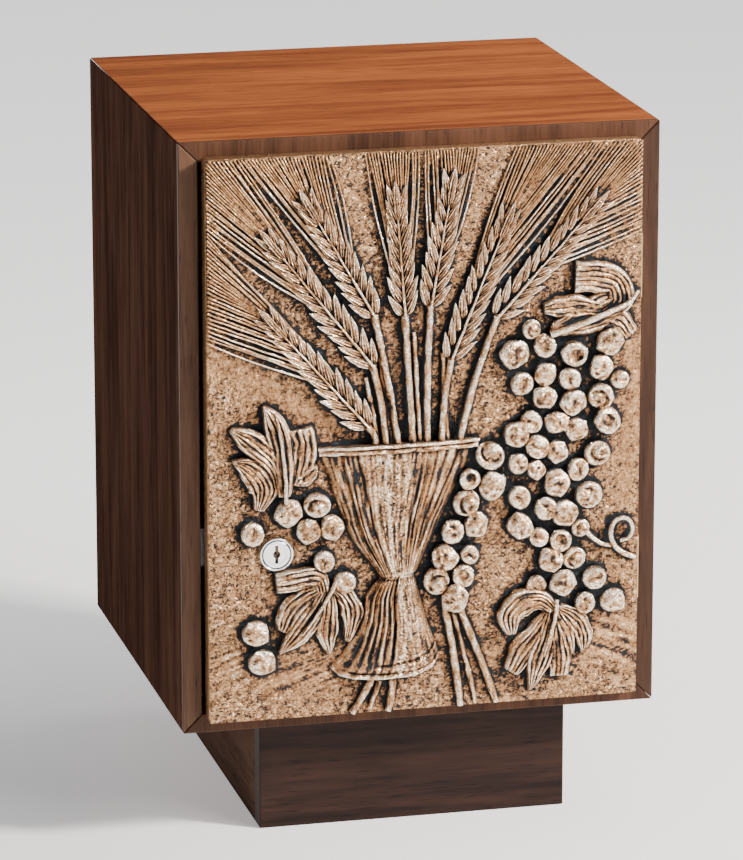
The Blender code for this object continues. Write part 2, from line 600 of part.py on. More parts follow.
def make_strike(flange_rear, side_panel):
    """An angle on the left board. Its flange stands just in front of the turned cam."""
    wall = -OPENING + SEAT
    low, high = LOCK_Z - STRIKE_HEIGHT / 2, LOCK_Z + STRIKE_HEIGHT / 2
    flange_front = flange_rear - STRIKE_THICK
    strike = block("strike_plate", (wall, flange_front, low),
                   (wall + STRIKE_THICK, flange_front + STRIKE_LENGTH, high), "brass")
    join(strike, block("strike_flange", (wall + SEAT / 2, flange_front + SEAT / 2, low + SEAT / 2),
                       (wall + STRIKE_REACH, flange_rear, high - SEAT / 2)))
    for name, z in (("lower", low + STRIKE_HEIGHT / 4), ("upper", high - STRIKE_HEIGHT / 4)):
        head = (wall + STRIKE_THICK, flange_front + STRIKE_LENGTH * 0.65, z)
        screw("strike_screw_" + name, head, "X", -1, STRIKE_THICK + SEAT + BOARD * 0.7,
              SMALL_SCREW, (strike, side_panel))


start()
case_boards = make_case()
make_lining()
make_plinth(case_boards["bottom"])
door = make_casting()
door_board, door_sheet = make_backing(door)
for hinge_name, hinge_middle in hinge_middles().items():
    make_hinge(hinge_name, hinge_middle, case_boards["right"], door)
make_lock(door, door_board, door_sheet, case_boards["left"])
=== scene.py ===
# %% [markdown]
# # A tabernacle box with a cast bronze door
# The box is a veneered walnut case on a small plinth, and its door is one bronze casting of wheat, a chalice,
# grapes and vine leaves. The case, the hinges and the lock come from the CAD frame. The relief, which a
# modeller shaped by hand in wax, is made here and laid on the door.

# %% Load the frame
import math

import bpy
import numpy as np
from mathutils import Matrix, Vector
from mathutils.bvhtree import BVHTree


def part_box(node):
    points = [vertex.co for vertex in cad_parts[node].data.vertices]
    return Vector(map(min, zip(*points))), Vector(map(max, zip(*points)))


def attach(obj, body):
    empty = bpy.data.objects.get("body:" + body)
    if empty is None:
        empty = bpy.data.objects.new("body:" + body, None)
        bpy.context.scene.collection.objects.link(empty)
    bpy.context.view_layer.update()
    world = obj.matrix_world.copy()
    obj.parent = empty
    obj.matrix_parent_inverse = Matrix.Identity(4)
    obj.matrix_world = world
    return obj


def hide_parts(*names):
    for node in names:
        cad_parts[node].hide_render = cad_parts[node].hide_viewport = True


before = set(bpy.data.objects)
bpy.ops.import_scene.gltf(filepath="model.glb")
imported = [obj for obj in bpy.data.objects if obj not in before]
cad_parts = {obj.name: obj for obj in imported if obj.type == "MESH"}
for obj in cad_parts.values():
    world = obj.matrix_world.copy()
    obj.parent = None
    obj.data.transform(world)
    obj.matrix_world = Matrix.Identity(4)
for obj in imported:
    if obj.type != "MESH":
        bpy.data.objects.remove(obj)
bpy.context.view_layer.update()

# %% [markdown]
# ## The camera
# A long lens from a few metres away keeps the upright edges nearly parallel, as in a drawing. The camera
# stands a little above the box and to its left, so that the left side and the top both show.

# %% Camera
CAMERA_PLACE = Vector((-0.7599, -3.1014, 1.0723))
CAMERA_AIM = Vector((0.23014, 0.93855, -0.25721))
LENS, SENSOR_WIDTH = 217.3, 36.0
bpy.ops.object.camera_add(location=CAMERA_PLACE)
camera = bpy.context.object
camera.rotation_mode = "QUATERNION"
camera.rotation_quaternion = CAMERA_AIM.to_track_quat("-Z", "Y")
camera.data.lens = LENS
camera.data.sensor_width = SENSOR_WIDTH
camera.data.clip_end = 50.0
bpy.context.scene.camera = camera
print("camera:", camera.data.lens, "mm lens at", tuple(round(v, 3) for v in camera.location))

# %% [markdown]
# ## Working by arithmetic in a material
# A finish is a small sum of patterns. Wiring each node by hand hides that sum, so this class holds one output
# and lets it be added, multiplied and mixed like a number.


# %% Signal
class Signal:
    """One output in a material's node tree."""

    def __init__(self, tree, out):
        self.tree = tree
        self.out = out

    def node(self, kind, settings=None, inputs=None, out=0):
        """Any other node: its type, its settings, and its inputs by name or number."""
        made = self.tree.nodes.new(kind)
        for key, value in (settings or {}).items():
            setattr(made, key, value)
        for key, value in (inputs or {}).items():
            if isinstance(value, Signal):
                self.tree.links.new(value.out, made.inputs[key])
            else:
                made.inputs[key].default_value = value
        return Signal(self.tree, made.outputs[out])

    def maths(self, operation, first, second):
        return self.node("ShaderNodeMath", {"operation": operation}, {0: first, 1: second})

    def __add__(self, other):
        return self.maths("ADD", self, other)

    def __sub__(self, other):
        return self.maths("SUBTRACT", self, other)

    def __rsub__(self, other):
        return self.maths("SUBTRACT", other, self)

    def __mul__(self, other):
        return self.maths("MULTIPLY", self, other)

    __radd__ = __add__
    __rmul__ = __mul__

    def rise(self, low, high):
        """0 below low, 1 above high, and a soft slope between."""
        settings = {"interpolation_type": "SMOOTHSTEP"}
        return self.node("ShaderNodeMapRange", settings, {"Value": self, "From Min": low, "From Max": high})

    def colour(self, low, high):
        """The first colour where this is 0, the second where it is 1."""
        low, high = (c if isinstance(c, Signal) else (*c, 1.0) for c in (low, high))
        return self.node("ShaderNodeMix", {"data_type": "RGBA"}, {0: self, 6: low, 7: high}, 2)

    def vector(self, operation, *others, out=0):
        """Vector maths on this and any others."""
        terms = dict(enumerate((self, *others)))
        return self.node("ShaderNodeVectorMath", {"operation": operation}, terms, out)

    def scaled(self, x, y, z):
        """A vector stretched by a different amount each way."""
        return self.vector("MULTIPLY", (x, y, z))

    def noise(self, scale, detail=3.0, roughness=0.5, distortion=0.0):
        """Cloudy noise at the places that this vector gives."""
        inputs = {"Vector": self, "Scale": scale, "Detail": detail, "Roughness": roughness,
                  "Distortion": distortion}
        return self.node("ShaderNodeTexNoise", {}, inputs)

    def read(self, name):
        """A number that each point of the mesh carries."""
        return self.node("ShaderNodeAttribute", {"attribute_name": name}, {}, 2)

    def part(self, axis):
        """One coordinate of a vector: 0, 1 or 2."""
        return self.node("ShaderNodeSeparateXYZ", {}, {0: self}, axis)


# %% [markdown]
# Each finish starts in the same way: a fresh material with its Principled shader, and the place of each point
# on the piece. The fixed numbers go on the shader's own sockets, and patterns are plugged into the few that
# may vary over the surface.

# %% Starting a finish
SOCKETS = {"colour": "Base Color", "rough": "Roughness", "metal": "Metallic", "normal": "Normal",
           "glow": "Emission Color"}


def new_finish(name, **fixed):
    """A material, the place on the piece, and a function that plugs patterns into its shader."""
    finish = bpy.data.materials.new(name)
    finish.use_nodes = True
    tree = finish.node_tree
    shader = tree.nodes["Principled BSDF"]
    for socket, value in fixed.items():
        shader.inputs[socket.replace("_", " ").title().replace("Ior", "IOR")].default_value = value
    place = Signal(tree, tree.nodes.new("ShaderNodeTexCoord").outputs["Object"])

    def plug(**patterns):
        for role, pattern in patterns.items():
            tree.links.new(pattern.out, shader.inputs[SOCKETS[role]])

    return finish, place, plug


def bump(height, distance, strength):
    """A surface normal tilted by a height."""
    return height.node("ShaderNodeBump", {}, {"Strength": strength, "Distance": distance, "Height": height})


# %% [markdown]
# ## Walnut veneer
# Veneer is a thin leaf of wood glued over a board, so its figure runs one way on each face. The figure could
# be a picture of wood, but a picture can't turn with the piece. Here the place is squeezed along the grain
# and stretched across it, and noises of different fineness give the broad figure and stripes, the fine fibres
# and the short dark pores.

# %% Walnut
ALONG = {"X": (1.0, 14.0, 14.0), "Y": (14.0, 1.0, 14.0), "Z": (14.0, 14.0, 1.0)}


def make_walnut(name, grain, dark, light, shift, gloss):
    """Walnut with its grain along an axis, from a dark colour to a light one."""
    finish, place, plug = new_finish(name, specular_ior_level=gloss)
    moved = place.vector("ADD", (shift, shift * 0.7, shift))
    run = moved.scaled(*ALONG[grain])
    figure = run.noise(2.6, 4.0, 0.55, 0.9)
    stripes = run.noise(13.0, 5.0, 0.62, 0.4)
    fibres = moved.scaled(*(v * v ** 0.35 for v in ALONG[grain])).noise(38.0, 4.0, 0.6)
    pores = moved.scaled(*(v * v ** 0.12 for v in ALONG[grain])).noise(52.0, 2.0, 0.5).rise(0.62, 0.70)
    tone = (figure * 0.45 + stripes * 0.35 + fibres * 0.20).rise(0.34, 0.64)
    warm = tone.colour(dark, light)
    stained = (pores * 0.62).colour(warm, tuple(c * 0.30 for c in dark))
    plug(colour=stained, rough=0.36 + fibres * 0.24 + pores * 0.1,
         normal=bump(fibres * 0.5 - pores * 0.8, 0.0002, 0.35))
    return finish


SHEEN, MATT = 0.15, 0.0
# Each wood is its grain's axis, its dark and light colours, a shift along the pattern, and its gloss. The
# colours differ from board to board partly as real differences and partly as painted light and shade: the
# top is lighter as if lit from above, the left side, the edge lippings and the plinth front are darker as if
# in shade, each by its own amount, and the plinth's sides are lighter as if lit from the floor.
WOODS_AND_PAINTED_LIGHT = {
    "top": ("X", (0.138, 0.031, 0.0075), (0.385, 0.110, 0.026), 0.0, SHEEN),
    "side": ("Z", (0.028, 0.0155, 0.0125), (0.122, 0.058, 0.038), 1.3, MATT),
    "stile": ("Z", (0.044, 0.021, 0.013), (0.145, 0.072, 0.041), 2.1, SHEEN),
    "stile_right": ("Z", (0.021, 0.0095, 0.006), (0.064, 0.030, 0.017), 2.8, SHEEN),
    "rail": ("Z", (0.029, 0.0115, 0.0065), (0.100, 0.043, 0.022), 3.7, SHEEN),
    "plinth": ("X", (0.009, 0.0042, 0.0033), (0.040, 0.018, 0.012), 4.9, SHEEN),
    "plinth_side": ("Y", (0.048, 0.030, 0.024), (0.145, 0.088, 0.066), 5.4, MATT),
    "board": ("Z", (0.050, 0.021, 0.012), (0.15, 0.066, 0.033), 6.2, SHEEN),
}
walnut = {piece: make_walnut(f"walnut_{piece}", *recipe) for piece, recipe in WOODS_AND_PAINTED_LIGHT.items()}
print("walnut:", ", ".join(sorted(walnut)))

# %% [markdown]
# ## Cast bronze, darkened and rubbed
# A cast door is darkened all over with a blue-black patina and then rubbed back, so the high places turn
# coppery and bright and the dark stays in the hollows. One colour with light and shade on it never looks like
# that. Each relief piece therefore carries a number for wear and painted shade, that says how high a point
# stands above what is round it, and the finish goes from patina through rust and tan to rubbed copper by
# that number. The same number is low on the ground round each shape, so it also paints a dark shadow there.
# A second number, pitted, says how rough the casting is there.

# %% Bronze
PATINA = (0.006, 0.010, 0.014)
RUST = (0.30, 0.125, 0.042)
TAN = (0.40, 0.220, 0.105)
PALE_TAN = (0.70, 0.42, 0.215)
RUBBED = (1.0, 0.87, 0.70)
WEAR_STEPS = [(-0.40, -0.12, RUST), (-0.18, 0.10, TAN), (0.12, 0.52, PALE_TAN), (0.56, 1.0, RUBBED)]


def make_bronze():
    """Patina where the number for wear and painted shade is low, and a colour more for each step that it
    climbs.
    """
    finish, place, plug = new_finish("patinated_bronze", specular_ior_level=0.5)
    # The first number read here holds both wear and painted shade: it is low in hollows, where the patina
    # stays, and on the ground round each shape, where it paints a shadow.
    wear_and_shade, pitted = place.read("wear_and_shade"), place.read("pitted")
    grit = place.noise(620.0, 4.0, 0.66)
    tool = place.noise(210.0, 3.0, 0.6, 0.6)
    lumps = place.scaled(0.75, 1.0, 1.2).noise(330.0, 2.0, 0.5, 1.1) - 0.5
    gaps = (lumps * lumps).rise(0.0001, 0.0022)
    level = wear_and_shade + (grit - 0.5) * (1.6 + pitted * 1.6) + (gaps - 0.80) * pitted * 1.1 + (tool - 0.5) * 1.5
    colour = PATINA
    for start, full, tint in WEAR_STEPS:
        colour = level.rise(start, full).colour(colour, tint)
    height = grit * 0.45 + gaps * (0.10 + pitted * 0.45) + tool * 0.8
    plug(colour=colour, metal=0.55 + level.rise(-0.3, 0.3) * 0.42, rough=0.50 - level.rise(-0.1, 0.7) * 0.27,
         normal=bump(height, 0.0013, 0.9))
    return finish


bronze = make_bronze()
print("bronze: patina", PATINA, "to rubbed", RUBBED)

# %% [markdown]
# ## A bench for the relief
# A relief is modelled lying flat on a bench and stood up afterwards. On the bench one unit is a millimetre, x
# runs across the door from its left edge, y runs up it, and z is the height above its ground. Nothing on it
# is taller than the door's own front. These helpers pick a piece up, read and move its points, write a number
# on each of them, and add soft random lumps.

# %% Bench helpers
DOOR_LOW, DOOR_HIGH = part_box("door_casting")
MM_PER_M = 1000
WIDE = (DOOR_HIGH.x - DOOR_LOW.x) * MM_PER_M
TALL = (DOOR_HIGH.z - DOOR_LOW.z) * MM_PER_M
TOP_OF_RELIEF = 10.0
TALLEST = 9.8
STAND = (Matrix.Translation((DOOR_LOW.x, DOOR_LOW.y + TOP_OF_RELIEF / MM_PER_M, DOOR_LOW.z))
         @ Matrix.Rotation(math.pi / 2, 4, "X") @ Matrix.Scale(1 / MM_PER_M, 4))
LATTICE, LATTICE_START = 32, 7.3
relief = []


def only(*pieces):
    """Selects these pieces and nothing else."""
    if bpy.context.object and bpy.context.object.mode != "OBJECT":
        bpy.ops.object.mode_set(mode="OBJECT")
    bpy.ops.object.select_all(action="DESELECT")
    for piece in pieces:
        piece.select_set(True)
    bpy.context.view_layer.objects.active = pieces[0]


def points(piece):
    """The places of a piece's points, one row each."""
    places = np.zeros(len(piece.data.vertices) * 3)
    piece.data.vertices.foreach_get("co", places)
    return places.reshape(-1, 3)


def put(piece, places):
    """Moves a piece's points to these places."""
    piece.data.vertices.foreach_set("co", np.ascontiguousarray(places, dtype=np.float32).ravel())
    piece.data.update()


def marked(piece, name):
    """A number that each point of a piece carries, or 0 where none was written."""
    values = np.zeros(len(piece.data.vertices), np.float32)
    if name in piece.data.attributes:
        piece.data.attributes[name].data.foreach_get("value", values)
    return values


def mark(piece, name, values):
    """Writes a number on each point of a piece, or the same one on all."""
    numbers = piece.data.attributes.get(name) or piece.data.attributes.new(name, "FLOAT", "POINT")
    values = np.broadcast_to(np.asarray(values, np.float32), len(piece.data.vertices))
    numbers.data.foreach_set("value", values.copy())


def slope(amount, run):
    """0 up to 0, 1 past the run, and a straight slope between."""
    return np.clip(amount / run, 0, 1)


def cloud(places, size, seed):
    """Smooth random numbers from -1 to 1 at these places, with lumps about as wide as size."""
    lattice = np.random.default_rng(seed).uniform(-1, 1, (LATTICE, LATTICE, LATTICE))
    cell = np.asarray(places) / size + LATTICE_START
    whole = np.floor(cell).astype(int)
    part = cell - whole
    part = part * part * (3 - 2 * part)
    total = 0.0
    for corner in np.ndindex(2, 2, 2):
        share = np.prod(np.where(corner, part, 1 - part), axis=1)
        total = total + share * lattice[tuple(((whole + corner) % LATTICE).T)]
    return total


def curve_through(stops, count):
    """Evenly numbered points on a smooth line through the stops."""
    stops = np.asarray(stops, float)
    ends = np.vstack([2 * stops[0] - stops[1], stops, 2 * stops[-1] - stops[-2]])
    at = np.linspace(0, len(stops) - 1, count)
    first = np.minimum(at.astype(int), len(stops) - 2)
    t = (at - first)[:, None]
    a, b, c, d = (ends[first + k] for k in range(4))
    bend = (2 * a - 5 * b + 4 * c - d) * t ** 2
    return 0.5 * (2 * b + (c - a) * t + bend + (3 * b - a - 3 * c + d) * t ** 3)


def choose(piece, kind, wanted):
    """Goes into edit mode with only the wanted faces or edges selected."""
    only(piece)
    bpy.ops.object.mode_set(mode="EDIT")
    bpy.ops.mesh.select_mode(type=kind)
    bpy.ops.mesh.select_all(action="DESELECT")
    bpy.ops.object.mode_set(mode="OBJECT")
    for item in piece.data.polygons if kind == "FACE" else piece.data.edges:
        item.select = bool(wanted(item))
    bpy.ops.object.mode_set(mode="EDIT")


def dent(piece, size, depth, seed):
    """Moves every point a little, as a hand and a tool do in wax."""
    places = points(piece)
    shift = np.c_[cloud(places, size, seed), cloud(places, size, seed + 1), cloud(places, size, seed + 2)]
    put(piece, places + depth * shift)
    return piece


def joined(name, pieces):
    """Makes one named piece of several."""
    only(*pieces)
    if len(pieces) > 1:
        bpy.ops.object.join()
    pieces[0].name = name
    pieces[0].data.name = name
    return pieces[0]


def smooth(piece, angle):
    """Shades a piece smoothly, except at edges sharper than the angle."""
    only(piece)
    bpy.ops.object.shade_smooth_by_angle(angle=math.radians(angle))


def finish_with(piece, kind, **settings):
    """Adds a modifier, sets it and applies it."""
    only(piece)
    bpy.ops.object.modifier_add(type=kind)
    modifier = piece.modifiers[-1]
    for key, value in settings.items():
        setattr(modifier, key, value)
    bpy.ops.object.modifier_apply(modifier=modifier.name)


print("door:", round(WIDE, 1), "by", round(TALL, 1), "mm")

# %% [markdown]
# Two ways of starting serve nearly every piece. A sheet is a flat grid that is bent to shape, and then its
# rim is drawn down to the bed and closed, which makes a solid lump. Rods are curves given a round section,
# each with its own thickness along it, for stalks, awns and tendrils.

# %% Sheets and rods
BED = -1.0  # just under the ground


def make_sheet(name, across, up):
    """A flat unit grid and the place of each of its points from 0 to 1 both ways."""
    bpy.ops.mesh.primitive_grid_add(x_subdivisions=across, y_subdivisions=up, size=1.0)
    sheet = bpy.context.object
    sheet.name = name
    share = points(sheet)[:, :2] + 0.5
    return sheet, share[:, 0], share[:, 1]


def close_below(sheet, bed=BED):
    """Draws the sheet's rim down to the bed and closes the underside."""
    count = len(sheet.data.vertices)
    only(sheet)
    bpy.ops.object.mode_set(mode="EDIT")
    bpy.ops.mesh.select_mode(type="EDGE")
    bpy.ops.mesh.select_all(action="SELECT")
    bpy.ops.mesh.region_to_loop()
    bpy.ops.mesh.extrude_edges_move(TRANSFORM_OT_translate={"value": (0, 0, -1)})
    bpy.ops.mesh.edge_face_add()
    bpy.ops.object.mode_set(mode="OBJECT")
    places = points(sheet)
    places[count:, 2] = bed
    put(sheet, places)
    only(sheet)
    bpy.ops.object.mode_set(mode="EDIT")
    bpy.ops.mesh.select_all(action="SELECT")
    bpy.ops.mesh.normals_make_consistent(inside=False)
    bpy.ops.object.mode_set(mode="OBJECT")


def and_below(sheet, values, below=0.2):
    """A value for each point of a closed sheet: the face's own, and one for all that lie below it."""
    return np.r_[values, np.full(len(sheet.data.vertices) - len(values), below)]


def make_rods(name, lines, roundness):
    """One mesh of round rods. A line is its points and the rod's radius at each."""
    bpy.ops.curve.primitive_bezier_curve_add()
    rods = bpy.context.object
    rods.data.splines.clear()
    for places, radii in lines:
        spline = rods.data.splines.new("POLY")
        spline.points.add(len(places) - 1)
        spline.points.foreach_set("co", np.c_[places, np.ones(len(places))].ravel())
        spline.points.foreach_set("radius", np.asarray(radii, float))
    rods.data.dimensions = "3D"
    rods.data.bevel_depth = 1.0
    rods.data.bevel_resolution = roundness
    rods.data.use_fill_caps = True
    only(rods)
    bpy.ops.object.convert(target="MESH")
    rods = bpy.context.object
    rods.name = name
    smooth(rods, 60)
    return rods


def brushed(piece, lines):
    """Adds to a piece's own wear, point by point, for what a brush or a tool left on it."""
    own = marked(piece, "own")
    own[:np.size(lines) if np.ndim(lines) else None] += lines
    mark(piece, "own", own)
    return piece


def on_bench(piece, pitted=0.3):
    """Notes a finished relief piece, no taller than allowed, with how much its face is pitted."""
    mark(piece, "pitted", pitted)
    relief.append(piece)
    places = points(piece)
    places[:, 2] *= min(1.0, TALLEST / places[:, 2].max())
    put(piece, places)
    print(f"{piece.name}: {len(piece.data.polygons)} faces, {places[:, 2].max():.1f} mm high")
    return piece


# %% [markdown]
# ## The ground
# The field behind the relief was pressed and scraped with tools: pebbly in most places, smooth where a thumb
# ran along it, and drawn into long strokes in the two lower corners. A fine grid is lifted by noise and by
# ridges along drawn strokes. It is kept flat along the border, so that the plate's edge stays straight.

# %% Ground
LOCK_ACROSS, LOCK_UP = 42.0, 106.0
CLEAR_OF_LOCK, LOCK_SEAT = 15.0, 13.2
MARGIN, BORDER = 0.3, 3.0
LOWEST, HIGHEST, GROUND_BED = -0.8, 2.6, -1.2
SCRAPED_BELOW, MIDDLE = 85, 130
STROKES = [  # each stroke's line, its width and its height
    ([(4, 12), (30, 20), (62, 33)], 1.6, 0.9), ([(2, 20), (28, 29), (56, 40)], 1.5, 0.8),
    ([(10, 4), (38, 12), (70, 22)], 1.7, 0.9), ([(38, 22), (52, 27), (72, 31)], 1.3, 0.9),
    ([(3, 64), (14, 66), (26, 70)], 1.4, 0.6), ([(3, 76), (12, 74), (24, 78)], 1.4, 0.6),
    ([(243, 44), (256, 40), (270, 37)], 2.6, 1.1), ([(241, 52), (255, 49), (270, 46)], 1.8, 0.7),
    ([(236, 30), (252, 27), (271, 19)], 2.4, 1.5), ([(230, 26), (250, 21), (271, 13)], 2.0, 1.2),
    ([(226, 10), (246, 12), (271, 8)], 2.2, 0.8), ([(150, 10), (170, 5), (196, 4)], 1.6, 0.6),
    ([(2, 236), (28, 214), (56, 196), (92, 184)], 3.2, 0.7), ([(4, 222), (26, 204), (50, 188)], 2.2, -0.6),
    ([(262, 232), (268, 200), (266, 160)], 2.6, 0.6), ([(250, 150), (262, 132), (270, 122)], 2.0, 0.6),
    ([(136, 236), (133, 262), (129, 290)], 2.4, 0.6), ([(158, 300), (172, 326), (186, 344)], 2.0, 0.6),
]
SMOOTH_BANDS = [([(0, 240), (30, 214), (60, 196), (95, 182)], 7.0), ([(0, 40), (40, 30), (75, 30)], 9.0),
                ([(262, 240), (268, 200), (262, 130)], 6.0), ([(236, 44), (272, 30)], 12.0),
                ([(152, 40), (176, 30), (186, 10)], 8.0)]


def nearness(x, y, stops, width):
    """1 on a drawn line, falling softly to 0 away from it."""
    line = curve_through(stops, 40)
    gap = np.full(len(x), 1e9)
    for px, py in line:
        gap = np.minimum(gap, (x - px) ** 2 + (y - py) ** 2)
    return np.exp(-gap / (2 * width * width))


ground, u, v = make_sheet("door_ground", 226, 292)
gx, gy = u * (WIDE - 2 * MARGIN) + MARGIN, v * (TALL - 2 * MARGIN) + MARGIN
flat = np.c_[gx, gy, np.zeros(len(gx))]
calm = np.clip(sum(nearness(gx, gy, stops, width) for stops, width in SMOOTH_BANDS), 0, 1)
border = np.minimum.reduce([gx, WIDE - gx, gy, TALL - gy])
keep = slope(border, BORDER)
pebbles = np.abs(cloud(flat, 3.2, 3)) * 1.3 + np.abs(cloud(flat, 2.0, 4)) * 0.8
lift = 0.25 * cloud(flat, 26, 1) + 0.22 * cloud(flat, 9, 2) - 0.3 + pebbles * (1 - 0.8 * calm)
for stops, width, high in STROKES:
    lift = lift + high * nearness(gx, gy, stops, width) * (0.7 + 0.5 * cloud(flat, 5, 11))
from_lock = np.hypot(gx - LOCK_ACROSS, gy - LOCK_UP)
well = slope(CLEAR_OF_LOCK - from_lock, 2.5)
lift = lift * keep * (1 - well) - 0.5 * slope(LOCK_SEAT - from_lock, 0.8)
put(ground, np.c_[gx, gy, np.clip(lift, LOWEST, HIGHEST)])
close_below(ground, GROUND_BED)
smooth(ground, 50)
stipple = 0.25 + 0.75 * (1 - calm) * (0.6 + 0.4 * cloud(flat, 14, 6))
scraped = calm * slope(SCRAPED_BELOW - gy, 10)
rising = cloud(np.c_[(0.94 * gy - 0.33 * gx) / 1.1, (0.94 * gx + 0.33 * gy) / 16, gx * 0], 1.0, 7)
falling = cloud(np.c_[(0.93 * gy + 0.36 * gx) / 1.1, (0.93 * gx - 0.36 * gy) / 14, gx * 0], 1.0, 8)
brushed(ground, scraped * np.where(gx < MIDDLE, rising, falling))
on_bench(ground, and_below(ground, stipple, 1.0))

# %% [markdown]
# ## The chalice
# The bowl is a half tulip that stands out of the plate. Its outline is not a turned profile but two drawn
# edges, so a sheet is stretched between them and domed across. Creases run down its left and flutes down its
# right, each written as a groove along a line of the sheet, and the middle is left rough.


# %% Shaping between two edges
def between(stops, at):
    """Reads a drawn edge, given as (place, value) stops, at many places."""
    table = np.asarray(stops, float)
    return np.interp(at, table[:, 0], table[:, 1])


def groove(across, centre, width):
    """1 on the centre line, falling softly to 0 beside it."""
    return np.exp(-((across - centre) / width) ** 2)


# %% Chalice bowl
BOWL_LEFT = [(87, 106), (91, 104), (100, 97.5), (111, 90), (122, 84.5), (135, 80), (150, 75),
             (162, 71), (167.5, 70)]
BOWL_RIGHT = [(87, 129), (91, 131), (100, 135), (111, 140.5), (122, 145), (130, 149), (142, 155),
              (155, 161), (162, 164), (167.5, 166)]
BOWL_TOP = BOWL_LEFT[-1][0]
CREASES = [(0.125, 0.03, 1.3), (0.16, 0.03, 0.9), (0.225, 0.09, 1.3)]
FLUTES = [(0.335, 0.40, 0.4), (0.46, 0.49, 0.45), (0.665, 0.63, 0.9), (0.705, 0.68, 0.9),
          (0.755, 0.73, 0.8), (0.82, 0.775, 0.9), (0.90, 0.80, 1.2)]
bowl, u, v = make_sheet("chalice_bowl", 120, 96)
bottom = 87.2 + 2.6 * u
y = bottom + (BOWL_TOP - bottom) * v
left, right = between(BOWL_LEFT, y), between(BOWL_RIGHT, y)
x = left + (right - left) * u
dome = (1 - np.abs(2 * u - 1) ** 2.6) ** 0.62
high = 9.0 * dome * (0.78 + 0.22 * np.sin(np.pi * np.clip(v * 0.9 + 0.1, 0, 1)))
shown = slope(v, 0.16)
flat = np.c_[x, y, u * 0]
for top, lean, deep in CREASES:
    high -= deep * groove(u, top + lean * (1 - v), 0.011) * shown
high += 0.8 * groove(u, 0.142 + 0.03 * (1 - v), 0.008) + 0.8 * groove(u, 0.255 + 0.09 * (1 - v), 0.02) * shown
high -= 0.7 * groove(u, 0.195 + 0.06 * (1 - v), 0.022) * shown
for top, low, deep in FLUTES:
    line = top + (low - top) * (1 - v) ** 1.4
    high -= deep * groove(u, line, 0.010) * slope(v - 0.10, 0.15)
    high += 0.45 * deep * groove(u, line + 0.022, 0.012) * slope(v - 0.10, 0.15)
rough = np.clip(1.3 - np.abs(u - 0.44 - 0.02 * (1 - v)) / 0.17, 0, 1)
lumps = 0.30 * cloud(flat, 2.2, 21) + 0.35 * np.abs(cloud(flat, 1.6, 22))
high += rough * lumps + 0.12 * cloud(flat, 3, 23)
high += 0.25 * groove(u, 0.46, 0.012) * np.sin(y * 1.3) * rough
put(bowl, np.c_[x, y, np.clip(high, -0.4, 9.7)])
close_below(bowl)
smooth(bowl, 60)
brushed(bowl, 1.25 * cloud(np.c_[u * 76, v * 7, u * 0], 1.0, 24) + 0.25 * rough - 0.12)
on_bench(bowl, and_below(bowl, 0.25 + 0.75 * rough))

# %% [markdown]
# The lip is two bars on a shelf, the upper one a little longer. Where the bowl meets the foot there is a dark
# collar, and the foot hangs in folds like cloth, with one deep seam and a turned-up hem.

# %% Chalice rim
RIM_BARS = [(171.0, 1.25, 67.5, 168.5, 0.0), (167.9, 1.45, 69.5, 167, -0.3)]


def rim_arch(across):
    """How far the lip stands out along its length, from 0 at its ends to 1 in the middle."""
    return 1 - np.abs((across - 118) / 52) ** 2.4


rim_lines = []
for up, radius, start, end, lower in RIM_BARS:
    across = np.linspace(start, end, 60)
    waver = 0.25 * cloud(np.c_[across, across * 0, across * 0], 9, 31)
    places = np.c_[across, up + waver, 4.6 + 3.9 * rim_arch(across) + lower]
    rim_lines.append((places, radius * (0.9 + 0.12 * cloud(places, 3, 32))))
rim_shelf, u, v = make_sheet("chalice_lip", 70, 8)
x, y = 68.5 + 99.5 * u, 166.6 + 5.2 * v
put(rim_shelf, np.c_[x, y, 4.2 + 3.7 * rim_arch(x)])
close_below(rim_shelf)
rim = joined("chalice_rim", [make_rods("bars", rim_lines, 3), rim_shelf])
on_bench(brushed(dent(rim, 4.0, 0.3, 33), 1.1 * cloud(points(rim) * (0.22, 1.0, 0.6), 1.0, 34) - 0.1), 0.5)

# %% Chalice foot
FOOT_HEM = [(0, 31.5), (0.08, 26.5), (0.2, 24.3), (0.42, 23), (0.75, 23.6), (0.92, 28), (1, 34.5)]
FOOT_LEFT = [(23, 80), (26, 77), (31.5, 75), (39, 82), (51, 89.5), (63, 95), (76, 97.5), (83, 102), (89, 108)]
FOOT_RIGHT = [(23, 136), (28, 142), (34.5, 145), (44, 142), (54, 138), (66, 134.5), (76, 132), (83, 130),
              (89, 128)]
FOOT_TOP = 88.5
FOLDS = [0.10, 0.175, 0.25, 0.33, 0.41]
foot, u, v = make_sheet("chalice_foot", 110, 90)
hem = between(FOOT_HEM, u)
y = hem + (FOOT_TOP - hem) * v
left, right = (between(edge, corner + (FOOT_TOP - corner) * v)
               for edge, (_, corner) in ((FOOT_LEFT, FOOT_HEM[0]), (FOOT_RIGHT, FOOT_HEM[-1])))
x = left + (right - left) * u
dome = (1 - np.abs(2 * u - 1) ** 3.0) ** 0.55
high = 7.9 * dome * (0.92 + 0.08 * (1 - v))
open_part = slope(v - 0.13, 0.08)
for number, place in enumerate(FOLDS):
    high -= (0.85 + 0.2 * (number % 2)) * groove(u, place, 0.016) * open_part * slope(0.97 - v, 0.1)
    high += 0.55 * groove(u, place + 0.037, 0.017) * open_part
high -= 2.0 * groove(u, 0.505 + 0.012 * np.sin(v * 5), 0.013) * open_part
high += 0.5 * groove(u, 0.47, 0.02) + 0.5 * groove(u, 0.54, 0.02)
right_half = slope(u - 0.53, 0.05) * slope(0.96 - u, 0.05)
flat = np.c_[x, y, u * 0]
high += right_half * (0.25 * np.sin(u * 95) + 0.4 * np.abs(cloud(flat, 1.8, 41)) - 0.1)
crease = 0.125 + 0.05 * slope(u - 0.5, 0.5)
